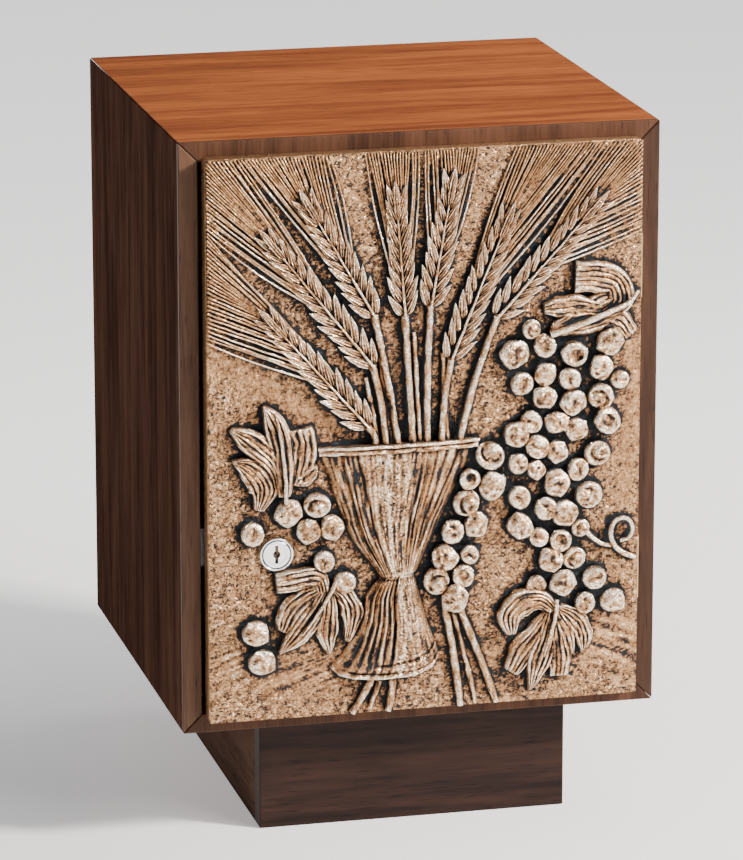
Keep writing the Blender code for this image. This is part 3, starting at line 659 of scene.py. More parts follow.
high += 0.5 * groove(v, crease - 0.04, 0.022) - 1.6 * groove(v, crease, 0.013) * slope(u - 0.30, 0.15)
high -= 1.4 * groove(v, 0.045, 0.010) * slope(u - 0.05, 0.1)
high -= 1.8 * np.exp(-(((x - 84) / 3.4) ** 2 + ((y - 33.5) / 2.2) ** 2))
high -= 1.6 * groove(v, 0.955, 0.02)
high += 0.12 * cloud(flat, 2.5, 42)
put(foot, np.c_[x, y, np.clip(high, -0.4, 9.4)])
close_below(foot)
smooth(foot, 60)
brushed(foot, 1.15 * cloud(np.c_[u * 52, v * 6, u * 0], 1.0, 43) + 0.35 * right_half - 0.22)
on_bench(foot, and_below(foot, 0.2 + 0.7 * right_half))

# %% [markdown]
# ## Wheat
# An ear is pairs of long pointed grains set like a herringbone on a stalk, and each grain has furrows. The
# grains are all one shape, so it is made once from a ball drawn out to a point, and copied. The last part of
# each ear is its awns, the fine bristles that fan out to the edge of the door, made as thin tapering rods.

# %% One grain
GRAIN_LONG = 17.5


def make_grain():
    """A grain along +X with its blunt end at the middle of the bench."""
    bpy.ops.mesh.primitive_uv_sphere_add(segments=16, ring_count=9, radius=1.0)
    grain = bpy.context.object
    ball = points(grain)
    along = (ball[:, 2] + 1) / 2
    round_by = np.arctan2(ball[:, 1], ball[:, 0])
    furrow = np.cos(8 * round_by)
    thick = 2.8 * along ** 0.55 * (1 - along) ** 1.05 * (1 + 0.20 * furrow)
    put(grain, np.c_[GRAIN_LONG * along, 2.25 * thick * np.sin(round_by), 2.5 * thick * np.cos(round_by)])
    mark(grain, "own", 0.55 * furrow - 0.8 * np.exp(-along / 0.14) - 0.05)
    only(grain)
    bpy.ops.object.mode_set(mode="EDIT")
    bpy.ops.mesh.select_all(action="SELECT")
    bpy.ops.mesh.remove_doubles(threshold=0.02)
    bpy.ops.mesh.normals_make_consistent(inside=False)
    bpy.ops.object.mode_set(mode="OBJECT")
    smooth(grain, 50)
    return grain


def copy_of(piece, matrix):
    """A copy with its own mesh, moved within the mesh."""
    other = piece.copy()
    other.data = piece.data.copy()
    other.data.transform(matrix)
    bpy.context.collection.objects.link(other)
    return other


grain = make_grain()
print("grain:", len(grain.data.polygons), "faces")

# %% Seven ears
EARS = [(99, 183, 36, 255), (102, 221, 36, 304), (103, 252, 60, 326), (122, 251, 116, 328),
        (138, 256, 152, 335), (151, 222, 188, 312), (180, 247, 245, 317)]
PAIR_EVERY = 8.9
LOOSE = (0.0, 0.0, 0.1, 0.0, 0.1, 0.75, 0.65)
AWN_ENDS = [([(0.6, 240), (0.6, 306)], 26), ([(0.6, 308), (0.6, 351), (20, 351.4)], 26),
            ([(22, 351.4), (76, 351.4)], 26), ([(98, 351.4), (131, 351.4)], 18),
            ([(135, 351.4), (168, 351.4)], 18), ([(192, 351.4), (248, 351.4)], 26),
            ([(252, 351.4), (271.4, 351.4), (271.4, 296)], 28)]


def make_ear(number, start, end, loose):
    """Grains in pairs up a stalk, the outer ones standing off where the ear is loose."""
    start, end = Vector((*start, 0)), Vector((*end, 0))
    aim = (end - start).normalized()
    turn = math.atan2(aim.y, aim.x)
    chance = np.random.default_rng(100 + number)
    long = (end - start).length
    pairs = round(long / PAIR_EVERY)
    pieces = []
    for row in range(pairs):
        up = row / (pairs - 1)
        place = start + aim * (long - GRAIN_LONG * 0.6) * up
        for side in (-1, 1):
            lean = side * math.radians(28 - 9 * up + chance.uniform(-4, 4))
            gap = side * (1.1 + (loose * 2.2 if side > 0 else 0.0))
            size = (0.92 + 0.16 * math.sin(math.pi * min(1, up + 0.25))) * chance.uniform(0.94, 1.06)
            seat = place + Vector((-aim.y, aim.x, 0)) * gap + Vector((0, 0, 2.7 + chance.uniform(-0.3, 0.3)))
            pieces.append(copy_of(grain, Matrix.Translation(seat) @ Matrix.Rotation(turn + lean, 4, "Z")
                                  @ Matrix.Rotation(-math.radians(7), 4, "Y")
                                  @ Matrix.Rotation(chance.uniform(-0.5, 0.5), 4, "X")
                                  @ Matrix.Diagonal((size, size * (1 - 0.15 * loose), size * 0.9, 1))))
    for lift, back in ((4.4, 0.62), (4.2, 0.98)):
        seat = end - aim * GRAIN_LONG * back + Vector((0, 0, lift))
        pieces.append(copy_of(grain, Matrix.Translation(seat) @ Matrix.Rotation(turn, 4, "Z")
                              @ Matrix.Diagonal((1.05, 1.0, 0.9, 1))))
    rib = np.array([start + aim * long * t + Vector((0, 0, 4.9 - t)) for t in np.linspace(-0.02, 0.9, 14)])
    knob = np.array([start - aim * 2.4 + aim * k + Vector((0, 0, 3.2)) for k in np.linspace(0, 3.6, 7)])
    pieces.append(make_rods("rib", [(rib, np.linspace(1.0, 0.55, 14)),
                                    (knob, [0.9, 1.9, 2.3, 2.4, 2.2, 1.7, 0.9])], 1))
    return joined(f"ear_{number + 1}", pieces)


for number, (x0, y0, x1, y1) in enumerate(EARS):
    on_bench(dent(make_ear(number, (x0, y0), (x1, y1), LOOSE[number]), 2.6, 0.30, 60 + number), 0.25)
bpy.data.objects.remove(grain)

# %% Awns
for number, ((x0, y0, x1, y1), (ends, count)) in enumerate(zip(EARS, AWN_ENDS)):
    chance = np.random.default_rng(200 + number)
    base, tip = np.array([x0, y0, 0.0]), np.array([x1, y1, 0.0])
    aim = (tip - base) / np.linalg.norm(tip - base)
    beside = np.array([-aim[1], aim[0], 0])
    stops = np.array(ends, float)
    run = np.r_[0, np.cumsum(np.linalg.norm(np.diff(stops, axis=0), axis=1))]
    turned = 1 if np.dot(np.r_[stops[0], 0] - tip, beside) > 0 else -1
    lines = []
    for rank in range(count):
        spread = 2 * rank / (count - 1) - 1
        root = tip - aim * (2 + 46 * abs(spread) ** 1.3) - beside * turned * spread * 6.5
        at = run[-1] * rank / (count - 1)
        goal = np.array([np.interp(at, run, stops[:, 0]), np.interp(at, run, stops[:, 1]), 0])
        bow = beside * turned * -spread * chance.uniform(-1.0, 2.5)
        t = np.linspace(0, 1, 12)[:, None]
        line = root * (1 - t) + goal * t + bow * np.sin(np.pi * t)
        line[:, 2] = (3.9 - 2.6 * t[:, 0] ** 0.7) + chance.uniform(-0.25, 0.25)
        line[-1] = line[-1] * [1, 1, 0] + [0, 0, 0.7]
        lines.append((line, 0.78 - 0.28 * t[:, 0]))
    awns = dent(make_rods(f"awns_{number + 1}", lines, 1), 4.0, 0.22, 70 + number)
    on_bench(brushed(awns, -0.25), 0.15)

# %% [markdown]
# Stalks gather behind the lip of the chalice, and their stems come out below its foot and below the middle
# bunch. A stalk is a round rod with a slight bow, sunk a little in the ground.

# %% Stalks
STALK_FEET = [103, 110, 118, 127, 136, 145, 156]
STEMS = [(103, 26, 89, 1), (115, 26, 112, 1), (148, 64, 158, 1), (157, 64, 181, 1.5)]


def stalk_line(foot, head, bow, low, high, radius):
    """A bowed line from the foot at one height to the head at another, and its radii."""
    t = np.linspace(0, 1, 30)
    places = np.c_[foot[0] + (head[0] - foot[0]) * t + bow * np.sin(np.pi * t),
                   foot[1] + (head[1] - foot[1]) * t, low + (high - low) * t]
    return places, radius * (1 + 0.14 * cloud(places, 5, 51))


stalks = [stalk_line((foot, 169), (ear[0], ear[1]), 1.5 * (number - 3) * -0.5, 4.4, 3.0, 2.15)
          for number, (foot, ear) in enumerate(zip(STALK_FEET, EARS))]
stalks += [stalk_line((foot, 169), head, 0, 3.0, 1.6, 1.5)
           for foot, head in ((106, (98, 214)), (114, (106, 232)), (132, (128, 240)), (149, (146, 226)))]
stems = [stalk_line((x0, y0), (x1, y1), 0.8, 2.8, 1.8, 2.2) for x0, y0, x1, y1 in STEMS]
stems += [stalk_line((109, 26), (100, 3), 0, 1.6, 1.2, 1.6),
          stalk_line((152, 66), (168, 2), 0.5, 1.6, 1.0, 1.5)]
for name, lines, seed in (("stalks", stalks, 80), ("stems", stems, 84)):
    rods = dent(make_rods(name, lines, 3), 3.4, 0.35, seed)
    on_bench(brushed(rods, 0.9 * cloud(points(rods) * (1.1, 0.10, 1.1), 1.0, seed + 1) - 0.25), 0.3)

# %% [markdown]
# ## Grapes
# No two grapes of a hand-made bunch are alike, but four kinds cover them: a rough dome, a crater with its
# hollow off centre, one cut by a crescent, and a boxy one with a crease. Each kind is a low many-sided drum
# shaped by insets and bevels, and every grape is a copy that is turned, tilted and sized for its place.


# %% Four kinds of grape
def make_drum(sides, height):
    """A drum one unit in radius, its edge rounded and its top divided."""
    bpy.ops.mesh.primitive_cylinder_add(vertices=sides, radius=1.0, depth=height)
    drum = bpy.context.object
    only(drum)
    bpy.ops.object.mode_set(mode="EDIT")
    bpy.ops.mesh.select_all(action="SELECT")
    bpy.ops.transform.translate(value=(0, 0, height / 2))
    bpy.ops.object.mode_set(mode="OBJECT")
    choose(drum, "FACE", lambda face: face.normal.z > 0.9)
    bpy.ops.mesh.bevel(offset=0.36, segments=3)
    bpy.ops.object.mode_set(mode="OBJECT")
    return drum


def press_top(drum, inset, drop, aside=0.0):
    """Insets the top face and moves it up or down, and aside if the hollow is off centre."""
    choose(drum, "FACE", lambda face: face.normal.z > 0.9 and len(face.vertices) > 4)
    bpy.ops.mesh.inset(thickness=inset)
    bpy.ops.transform.translate(value=(aside, 0, drop))
    bpy.ops.object.mode_set(mode="OBJECT")


def finish_grape(drum, name, seed, rough):
    """Closes the top to a fan, rounds everything a little and dents it."""
    choose(drum, "FACE", lambda face: len(face.vertices) > 4 and face.normal.z > 0.5)
    bpy.ops.mesh.poke()
    bpy.ops.object.mode_set(mode="OBJECT")
    finish_with(drum, "SUBSURF", levels=1, render_levels=1)
    places = points(drum)
    shift = np.c_[cloud(places * 9, 4, seed), cloud(places * 9, 4, seed + 1), cloud(places * 9, 3, seed + 2)]
    put(drum, places + shift * rough * slope(places[:, 2:], 0.5))
    smooth(drum, 22)
    drum.name = name
    return drum


def make_grape_kinds():
    """One of each kind, a unit in radius."""
    dome = make_drum(11, 1.05)
    press_top(dome, 0.22, 0.13)
    dome = finish_grape(dome, "dome", 300, 0.12)
    crater = make_drum(10, 1.15)
    press_top(crater, 0.07, 0.02, 0.10)
    press_top(crater, 0.08, -0.36, 0.04)
    crater = finish_grape(crater, "crater", 310, 0.10)
    crescent = make_drum(12, 1.1)
    press_top(crescent, 0.20, 0.09)
    crescent = finish_grape(crescent, "crescent", 320, 0.05)
    places = points(crescent)
    arc = np.exp(-((np.hypot(places[:, 0] + 0.25, places[:, 1] + 0.1) - 0.62) / 0.13) ** 2)
    put(crescent, places - np.c_[arc * 0, arc * 0, arc * 0.38 * (places[:, 2] > 0.7) * (places[:, 0] > -0.5)])
    boxy = make_drum(6, 1.1)
    press_top(boxy, 0.20, 0.08)
    boxy = finish_grape(boxy, "boxy", 330, 0.07)
    places = points(boxy)
    crease = np.exp(-((places[:, 0] * 0.7 + places[:, 1] * 0.7) / 0.16) ** 2) * (places[:, 2] > 0.6)
    put(boxy, places - np.c_[crease * 0, crease * 0, crease * 0.30])
    return [dome, crater, crescent, boxy]


kinds = make_grape_kinds()
print("grape kinds:", [(kind.name, len(kind.data.polygons)) for kind in kinds])

# %% Three bunches
TILT = 0.14
GRAPES = [(201, 238, 6), (190, 223, 9), (210, 227, 8), (229, 222, 8.5), (251, 228, 8), (195, 205, 8),
          (210, 210, 7), (226, 206, 8), (245, 212, 7.5), (258, 203, 6.5), (246, 194, 8), (210, 195, 7),
          (228, 191, 8), (202, 180, 8), (218, 178, 7), (231, 174, 7), (249, 178, 8), (192, 173, 8),
          (206, 164, 8), (218, 160, 7), (244, 158, 7.5), (193, 154, 7.5), (205, 149, 6),
          (231, 148, 7.5), (218, 140, 8), (238, 132, 8.5), (194, 133, 8.5), (211, 124, 8),
          (223, 121, 8), (195, 114, 8), (234, 110, 5.5), (207, 106, 7), (221, 103, 7), (215, 91, 7.5),
          (230, 92, 7), (205, 76, 6.5), (223, 76, 8), (243, 78, 8.5), (237, 62, 7.5), (255, 63, 8),
          (176, 160, 8), (163, 146, 7), (177, 141, 8), (161, 131, 7.5), (152, 113, 8), (167, 117, 7.5),
          (147, 97, 8), (163, 98, 7), (142, 83, 8), (159, 85, 7), (154, 71, 8.5), (49, 132, 8),
          (67, 136, 8), (26, 120, 8.5), (62, 120, 7), (76, 121, 7.5), (71, 100, 7.5), (84, 86, 8),
          (28, 57, 8), (32, 39, 8)]
# Which kind each grape is, by its number in the list of kinds.
KIND_OF = "203103030320030010302303023300231020033021023003210023003300"
bunches = {"grapes_right": [], "grapes_middle": [], "grapes_left": []}
chance = np.random.default_rng(400)
for number, (x, y, radius) in enumerate(GRAPES):
    kind = kinds[int(KIND_OF[number])]
    tall = min(0.86 * radius, 7.2) * chance.uniform(0.93, 1.05)
    tilt = Matrix.Rotation(chance.uniform(-TILT, TILT), 4, "X")
    tilt = tilt @ Matrix.Rotation(chance.uniform(-TILT, TILT), 4, "Y")
    turn = Matrix.Rotation(chance.uniform(0, 6.28), 4, "Z")
    wide, long = (radius * chance.uniform(1.04, 1.2) for _ in range(2))
    place = Matrix.Translation((x, y, 0.4)) @ tilt @ turn @ Matrix.Diagonal((wide, long, tall, 1))
    bunch = "grapes_left" if x < 100 else "grapes_middle" if x < 180 and y < 165 else "grapes_right"
    bunches[bunch].append(copy_of(kind, place))
for kind in kinds:
    bpy.data.objects.remove(kind)
for name, grapes in bunches.items():
    bunch = joined(name, grapes)
    on_bench(brushed(bunch, 1.1 * cloud(points(bunch), 2.2, 401) + 0.10), 0.6)

# %% [markdown]
# ## Vine leaves
# Each leaf is a handful of long lobes that fan out from its stem, and each lobe is furrowed along its length
# like a folded strip. So a lobe is a sheet bent along a drawn spine, with a width at each stop and furrows
# across it, and a leaf is several of them with a rib on top.


# %% Lobes
SPINE_POINTS = 200


def make_lobe(spine, halves, furrows, high, seed):
    """A furrowed strip along a spine. Its furrows keep the strip's own direction."""
    def along_spine(values):
        return np.interp(v * (SPINE_POINTS - 1), np.arange(SPINE_POINTS), values)

    lobe, u, v = make_sheet("lobe", 34, 44)
    line = curve_through(spine, SPINE_POINTS)
    away = np.gradient(line, axis=0)
    away /= np.linalg.norm(away, axis=1)[:, None]
    centre = np.c_[along_spine(line[:, 0]), along_spine(line[:, 1])]
    aside = np.c_[along_spine(-away[:, 1]), along_spine(away[:, 0])]
    half = 1.1 * np.interp(v, np.linspace(0, 1, len(halves)), halves)
    side = 2 * u - 1
    wavy = 1 + 0.05 * np.sin(v * 17 + seed)
    flat = centre + aside * (half * side * wavy)[:, None]
    edge = (1 - np.abs(side) ** 5) ** 0.5
    end = slope(1 - v, 0.12) ** 0.5 * slope(v + 0.02, 0.06) ** 0.5
    turn = side * math.pi * furrows * 0.78 + seed * 0.9 + 0.35 * np.sin(v * 5 + seed)
    waver = 0.25 * np.sin(np.floor(turn / math.pi + 0.5) * 2.4 + v * 6)
    fold = 1.6 * np.abs(np.cos(turn)) ** 0.7 - 1.0 + waver
    up = high * (0.50 + 0.30 * edge + 0.20 * end) + 0.85 * fold * (0.35 + 0.65 * edge)
    up += 0.16 * cloud(np.c_[flat, v * 0], 2.2, 500 + seed) + 0.5 * np.sin(v * math.pi) - 0.4
    put(lobe, np.c_[flat, up])
    close_below(lobe)
    brushed(lobe, 0.40 * fold + 1.15 * cloud(np.c_[side * half / 0.9, v * 6, v * 0 + seed], 1.0, 510) - 0.05)
    smooth(lobe, 60)
    return lobe


# Each leaf is its lobes, from the lowest to the one on top, and then its rib. A lobe is its spine, half its
# width along it, its furrows and its height. The ribs' points give their height too.
LEAVES = {
    "leaf_upper_left": (
        [([(56, 184), (58, 174), (56, 162), (53, 149)], [7.5, 8.5, 8.5, 4], 3, 5.2),
         ([(54, 152), (59, 153), (63, 156), (67, 161)], [3, 4.5, 4, 0.8], 1.5, 5.6),
         ([(14.5, 166.5), (23, 163), (31, 155), (34, 146), (31, 134.5)], [0.8, 6, 8.5, 8, 3], 4, 5.4),
         ([(44, 146), (41, 163), (32, 173), (22, 181), (13.5, 186.5)], [2.5, 6, 7.5, 6, 1.2], 3.5, 6.2),
         ([(47, 143), (46.5, 160), (44, 178), (39.5, 191), (34, 200)], [3.5, 6.5, 7, 6, 0.6], 2.5, 6.8)],
        [(47, 139, 7.6), (46.4, 155, 8.6), (44.5, 175, 8.6), (41, 196, 7.0)]),
    "leaf_lower_left": (
        [([(77, 83), (85, 76), (89, 65), (86, 48)], [2, 5.5, 6.5, 1.5], 3, 5.2),
         ([(74, 82), (74, 68), (73, 54), (74.5, 41)], [2, 5.5, 6.5, 1.0], 2.5, 5.9),
         ([(71, 82), (61, 76), (52, 67), (46, 56.5)], [3, 8, 10, 5], 4, 5.6),
         ([(72, 82), (65, 68), (55, 55), (43, 43.5)], [2.5, 6, 7, 0.8], 3, 6.4),
         ([(71, 80), (68.5, 89), (60, 90.5), (50, 89), (41.5, 88)], [3, 5, 6, 6, 6], 2.5, 6.6)],
        [(79, 88, 6.2), (73, 78, 7.9), (65, 66, 7.9), (57, 55, 7.4)]),
    "leaf_lower_right": (
        [([(220, 60), (230, 53), (236, 42), (236, 29.5)], [2.5, 6, 6, 1], 3, 5.4),
         ([(219, 57), (225, 44), (229.5, 29.5)], [2.2, 4.5, 0.8], 1.5, 6.0),
         ([(217, 58), (219, 42), (221, 28), (221, 16)], [2.5, 5.5, 6.8, 5], 3, 5.8),
         ([(213, 57), (206, 45), (197, 33), (190, 20.5)], [3, 6, 8, 4.2], 3, 5.6),
         ([(215, 58), (212, 41), (207, 25), (202, 8)], [3, 6, 7, 0.8], 3, 6.5),
         ([(217, 59), (208, 66), (196, 64.5), (189, 57), (190, 45)], [3, 6, 8, 7.5, 3], 3.5, 6.8)],
        [(218.5, 66, 6.4), (217, 56, 8.0), (214, 44, 7.9), (210, 30, 7.5)]),
    "leaf_upper_right": (
        [([(244, 242), (257, 241), (265, 231)], [5, 6.5, 4.2], 2.5, 4.8),
         ([(213, 235), (228, 239), (244, 242), (260, 247)], [2, 6, 7, 2], 3.5, 5.2),
         ([(214, 237), (226, 243), (240, 249), (254, 256)], [2, 5.5, 7, 5], 3, 5.6),
         ([(246, 248), (230, 251), (218, 251), (209.5, 250)], [4, 6.5, 6, 3], 2.5, 6.2),
         ([(246, 246), (257, 253), (254, 264.5), (242, 268.5), (229, 269)], [4, 7.5, 8.5, 8.8, 9], 4, 6.6)],
        [(213, 234.5, 6.6), (232, 240.5, 8.4), (250, 247.5, 8.8), (262, 252.5, 8.2), (268.5, 259, 6.2)]),
}
RIB_TAPER = np.interp(np.linspace(0, 1, 40), [0, 0.3, 0.8, 1], [1.5, 1.3, 1.0, 0.6])
STOUT_RIB = {"leaf_upper_right": 1.5}
for number, (name, (lobes, rib)) in enumerate(LEAVES.items()):
    parts = [make_lobe(*lobe, seed=number * 10 + rank) for rank, lobe in enumerate(lobes)]
    thick = RIB_TAPER * STOUT_RIB.get(name, 1.0)
    parts.append(make_rods("rib", [(curve_through(rib, len(thick)), thick)], 2))
    on_bench(dent(joined(name, parts), 3.0, 0.25, 90 + number), 0.3)

# %% Tendril
SHOOT = [(236, 109, 3.2), (241, 104, 3.4), (247, 99.5, 3.4), (253.5, 97.5, 3.0)]
LOOP = [(259.5, 100, 2.6), (264.8, 102, 3.4), (267, 108, 4.0), (264.4, 113.6, 4.2), (259.4, 115, 4.2),
        (254.8, 112.2, 4.2), (253, 105.5, 4.0), (255.2, 98.4, 3.8), (261, 92.5, 3.0), (269.5, 88.6, 1.6)]
tendril = make_rods("tendril", [(curve_through(SHOOT, 30), np.linspace(1.7, 1.3, 30)),
                                (curve_through(LOOP, 70), np.linspace(1.2, 1.8, 70))], 2)
on_bench(brushed(tendril, 0.8 * cloud(points(tendril), 1.6, 95) - 0.1), 0.3)

# %% [markdown]
# ## Wear and painted shade
# Wear is measured from the relief's shape. The relief is read from above as a height map, the map is
# blurred, and a point that stands higher than the blurred map is rubbed while one that lies lower keeps its
# patina. Two blurs, a narrow and a broad one, catch both the furrows and the ground beside each shape, which
# they darken as a painted shadow round each shape. What a brush or a tool left on a piece is added.


# %% Height map, wear and painted shade
ABOVE_ALL = 30.0
NARROW, BROAD = 1.5, 5.0
BASE_WEAR, WEAR_LIMIT = 0.10, 1.5


def height_map(pieces):
    """The relief's height at every millimetre, read by rays from above."""
    corners, faces, start = [], [], 0
    for piece in pieces:
        piece.data.calc_loop_triangles()
        tris = np.zeros(len(piece.data.loop_triangles) * 3, int)
        piece.data.loop_triangles.foreach_get("vertices", tris)
        corners.append(points(piece))
        faces.append(tris.reshape(-1, 3) + start)
        start += len(piece.data.vertices)
    tree = BVHTree.FromPolygons(np.vstack(corners).tolist(), np.vstack(faces).tolist())
    heights = np.zeros((round(TALL), round(WIDE)))
    down = Vector((0, 0, -1))
    for row in range(heights.shape[0]):
        for column in range(heights.shape[1]):
            hit = tree.ray_cast((column + 0.5, row + 0.5, ABOVE_ALL), down)[0]
            heights[row, column] = hit.z if hit else 0.0
    return heights


def blurred(heights, width):
    """The map with each height spread over its neighbours."""
    reach = int(width * 3)
    weight = np.exp(-0.5 * (np.arange(-reach, reach + 1) / width) ** 2)
    weight /= weight.sum()
    soft = np.pad(heights, reach, mode="edge")
    soft = np.apply_along_axis(np.convolve, 0, soft, weight, "valid")
    return np.apply_along_axis(np.convolve, 1, soft, weight, "valid")


def read_map(values, places):
    """The map's height under each place, between the four nearest."""
    column = np.clip(places[:, 0] - 0.5, 0, values.shape[1] - 1.001)
    row = np.clip(places[:, 1] - 0.5, 0, values.shape[0] - 1.001)
    c, r = column.astype(int), row.astype(int)
    fc, fr = column - c, row - r
    return (values[r, c] * (1 - fc) * (1 - fr) + values[r, c + 1] * fc * (1 - fr)
            + values[r + 1, c] * (1 - fc) * fr + values[r + 1, c + 1] * fc * fr)


heights = height_map(relief)
near, broad_shade_blur = blurred(heights, NARROW), blurred(heights, BROAD)
for piece in relief:
    places = points(piece)
    # The ground beside each shape lies below the blurred maps, most of all the broad one, so its number
    # falls: that is painted shadow round each shape. Furrows below the narrow map keep patina, and tops above
    # it are rubbed.
    proud = places[:, 2] - read_map(broad_shade_blur, places)
    stands = 0.60 * (places[:, 2] - read_map(near, places)) + np.where(proud > 0, 0.04, 0.17) * proud
    wear_and_shade = stands + marked(piece, "own") + BASE_WEAR
    mark(piece, "wear_and_shade", np.clip(wear_and_shade, -WEAR_LIMIT, WEAR_LIMIT))
print("relief: up to", round(heights.max(), 2), "mm high, mean", round(heights.mean(), 2))

# %% [markdown]
# ## Standing the relief on the door
# The bench is turned upright and shrunk to metres in one step, in each piece's own points, so that every
# object stays at the origin with its place in its mesh.

# %% Stand the relief up
for piece in relief:
    piece.data.transform(STAND)
    piece.data.materials.clear()
    piece.data.materials.append(bronze)
    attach(piece, "door")

# %% [markdown]
# ## The casting's tray
# Behind the ground the door is a shallow tray with a hollow back, chamfered at its four corners and notched
# for the two hinges. A box is inset and pushed in at the back to make the hollow, and the notches are cut.

# %% Door tray
TRAY_FRONT, TRAY_BACK = DOOR_LOW.y + 0.0108, DOOR_HIGH.y
TRAY_DEEP, TRAY_MIDDLE = TRAY_BACK - TRAY_FRONT, (TRAY_FRONT + TRAY_BACK) / 2
CHAMFER, WALL, SKIN, SOFT_EDGE = 0.0022, 0.003, 0.0026, 0.0003
NOTCH_WIDE, NOTCH_END = 0.005, 0.002
TRAY_WEAR = 0.30
bpy.ops.mesh.primitive_cube_add(size=1.0)
tray = bpy.context.object
tray.name = "door_tray"
middle = Vector(((DOOR_LOW.x + DOOR_HIGH.x) / 2, TRAY_MIDDLE, (DOOR_LOW.z + DOOR_HIGH.z) / 2))
size = (WIDE / MM_PER_M, TRAY_DEEP, TALL / MM_PER_M, 1.0)
tray.data.transform(Matrix.Translation(middle) @ Matrix.Diagonal(size))
depths = [vertex.co.y for vertex in tray.data.vertices]
choose(tray, "EDGE", lambda edge: abs(depths[edge.vertices[0]] - depths[edge.vertices[1]]) > 0.005)
bpy.ops.mesh.bevel(offset=CHAMFER, segments=2)
choose(tray, "FACE", lambda face: face.normal.y > 0.9)
bpy.ops.mesh.inset(thickness=WALL)
bpy.ops.mesh.extrude_region_move(TRANSFORM_OT_translate={"value": (0, SKIN - TRAY_DEEP, 0)})
bpy.ops.object.mode_set(mode="OBJECT")
for name in ("lower", "upper"):
    low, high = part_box(f"hinge_{name}_pin")
    reach = (high.z - low.z) / 2 + NOTCH_END
    bpy.ops.mesh.primitive_cube_add(size=1.0)
    notch = bpy.context.object
    where = Matrix.Translation((DOOR_HIGH.x - 0.0015, TRAY_MIDDLE + 0.003, (low.z + high.z) / 2))
    notch.data.transform(where @ Matrix.Diagonal((NOTCH_WIDE, TRAY_DEEP + 0.0014, reach * 2, 1)))
    finish_with(tray, "BOOLEAN", object=notch, operation="DIFFERENCE")
    bpy.data.objects.remove(notch)
finish_with(tray, "BEVEL", width=SOFT_EDGE, segments=2, limit_method="ANGLE")
smooth(tray, 35)
mark(tray, "wear_and_shade", TRAY_WEAR)
mark(tray, "pitted", 0)
tray.data.materials.append(bronze)
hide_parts("door_casting")
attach(tray, "door")
print("tray:", len(tray.data.polygons), "faces")

# %% [markdown]
# ## Fittings
# The lock's face is bright chrome, the hinges and the screws are satin brass and steel, and the inside is
# lined with gilt sheet. Satin metal needs only fine hairlines and a few smears, because what it shows is the
# room. The lock's face has two more marks, both painted shade: a dark line round its rim, where a turned
# groove would fall dark, and a dark keyhole, a narrow slot with a round bore in its middle, painted as the
# shadow inside it.


# %% Metals for the fittings
def make_metal(name, base, rough, grain_scale, streak=(1, 1, 1)):
    """A satin metal with hairlines and faint smears."""
    finish, place, plug = new_finish(name, metallic=1.0, specular_ior_level=0.5)
    hair = place.scaled(*streak).noise(grain_scale, 3.0, 0.6)
    smear = place.noise(28.0, 3.0, 0.55)
    tone = hair * 0.5 + smear * 0.5
    plug(colour=tone.rise(0.3, 0.7).colour(tuple(c * 0.86 for c in base), base),
         rough=rough - 0.06 + smear * 0.12 + hair * 0.06, normal=bump(hair, 0.00008, 0.25))
    return finish


def make_lock_face():
    """Bright chrome with a painted shade line where a turned groove runs round its rim, and a painted shadow
    down the keyhole.
    """
    finish, place, plug = new_finish("bright_chrome", metallic=1.0)
    low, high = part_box("lock_housing")
    middle = (low + high) / 2
    away = place.vector("SUBTRACT", (middle.x, low.y, middle.z))
    radius = away.scaled(1, 0, 1).vector("LENGTH", out=1)
    rim = (high.x - low.x) / 2
    # The turned groove round the rim is only a slight bump; its dark line is painted shade.
    line = (radius - rim * 0.84) * MM_PER_M
    dark = 1.0 - (line * line).rise(0.06, 0.32)
    # The keyhole's slot and round bore are painted near-black and not metal, as the shadow inside them.
    across, up = (away.part(axis) * MM_PER_M for axis in (0, 2))
    slot = (1.0 - (across * across).rise(0.70, 1.2)) * (1.0 - (up * up).rise(29.5, 33.0))
    bore = 1.0 - radius.rise(0.0021, 0.0025)
    keyhole_shadow = slot.maths("MAXIMUM", slot, bore)
    smear = place.noise(90.0, 3.0, 0.55)
    clean = smear.colour((0.93, 0.93, 0.94), (0.99, 0.99, 1.0))
    plug(colour=(dark + keyhole_shadow).colour(clean, (0.02, 0.022, 0.026)), rough=0.12 + smear * 0.12,
         metal=1.0 - keyhole_shadow * 0.9, normal=bump(dark * -1.0 + smear * 0.02, 0.0003, 0.6))
    return finish


chrome = make_lock_face()
brass = make_metal("hinge_brass", (0.78, 0.55, 0.24), 0.30, 240.0, (1, 1, 12))
steel = make_metal("steel", (0.56, 0.56, 0.57), 0.34, 400.0)
gilt = make_metal("gilt_sheet", (0.88, 0.63, 0.27), 0.33, 160.0, (1, 1, 30))

# %% [markdown]
# Every CAD node that still shows gets its finish here, by its name. For a walnut board its place in the case
# says which way the grain runs and how dark it is, and that darkness is partly painted light and shade, set
# by where the light falls on each board.

# %% Finishes for the CAD nodes
WOOD_OF = {"top_panel": "top", "bottom_panel": "top", "left_panel": "side", "right_panel": "side",
           "back_panel": "board", "edge_lipping_left": "stile", "edge_lipping_right": "stile_right",
           "edge_lipping_top": "rail", "edge_lipping_bottom": "rail", "plinth_front": "plinth",
           "plinth_back": "plinth", "plinth_left": "plinth_side", "plinth_right": "plinth_side",
           "door_backing": "board"}


def finish_of(name):
    """The finish of a CAD node."""
    if name in WOOD_OF:
        return walnut[WOOD_OF[name]]
    if "block" in name:
        return walnut["board"]
    if "lining" in name:
        return gilt
    if name in ("lock_housing", "lock_plug", "lock_pin"):
        return chrome
    if "hinge" in name:
        return brass
    return steel


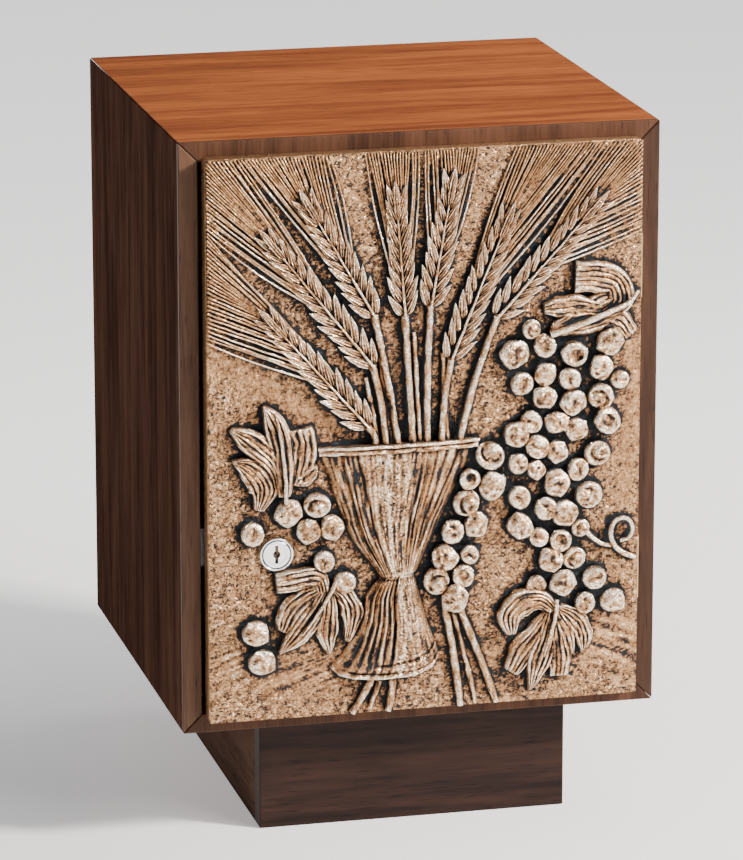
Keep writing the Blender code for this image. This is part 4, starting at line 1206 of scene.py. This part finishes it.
for name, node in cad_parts.items():
    node.data.materials.clear()
    node.data.materials.append(finish_of(name))
print("finished", len(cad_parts), "CAD nodes")

# %% [markdown]
# ## Floor and light
# A small strong lamp at the right grazes the relief, so that its hollows fall dark. A broad one at the front
# right fills it, one overhead lights the top, and a weak one keeps the left side from going black. The floor
# is pale paper that glows a little, and more behind the box, as a backdrop does when it has its own lamp.

# %% Floor and light
bpy.ops.mesh.primitive_plane_add(size=12.0)
floor = bpy.context.object
floor.name = "floor"
paper, place, plug = new_finish("floor_paper", roughness=0.9, emission_strength=1.0)
behind = place.part(1).rise(-0.25, 0.9)
plug(colour=place.noise(3.0, 2.0).colour((0.88, 0.88, 0.88), (0.92, 0.92, 0.92)),
     glow=behind.colour((0.32, 0.32, 0.32), (0.98, 0.97, 0.96)))
floor.data.materials.append(paper)


def soft_light(name, place, aim, size, power, tint):
    """A flat lamp that looks at a place."""
    bpy.ops.object.light_add(type="AREA", location=place)
    lamp = bpy.context.object
    lamp.name = name
    lamp.rotation_mode = "QUATERNION"
    lamp.rotation_quaternion = (Vector(aim) - Vector(place)).to_track_quat("-Z", "Y")
    lamp.data.shape = "RECTANGLE"
    lamp.data.size, lamp.data.size_y = size
    lamp.data.energy = power
    lamp.data.color = tint


BOX_MIDDLE, DOOR_MIDDLE, WARM = (0, 0, 0.35), (0, -0.15, 0.28), (1.0, 0.95, 0.90)
soft_light("overhead", (0.7, 0.2, 2.0), BOX_MIDDLE, (1.2, 1.0), 8, WARM)
soft_light("grazing", (1.45, -1.05, 1.35), DOOR_MIDDLE, (0.3, 0.35), 116, WARM)
soft_light("front_right", (1.7, -2.3, 1.9), DOOR_MIDDLE, (1.3, 1.3), 40, (1.0, 0.96, 0.92))
soft_light("left_fill", (-1.9, -2.4, 1.2), (0, 0, 0.25), (1.0, 1.0), 2, (0.96, 0.98, 1.0))
world = bpy.data.worlds.new("studio")
bpy.context.scene.world = world
world.use_nodes = True
room = world.node_tree.nodes["Background"]
room.inputs["Color"].default_value = (0.93, 0.95, 1.0, 1.0)
room.inputs["Strength"].default_value = 0.17
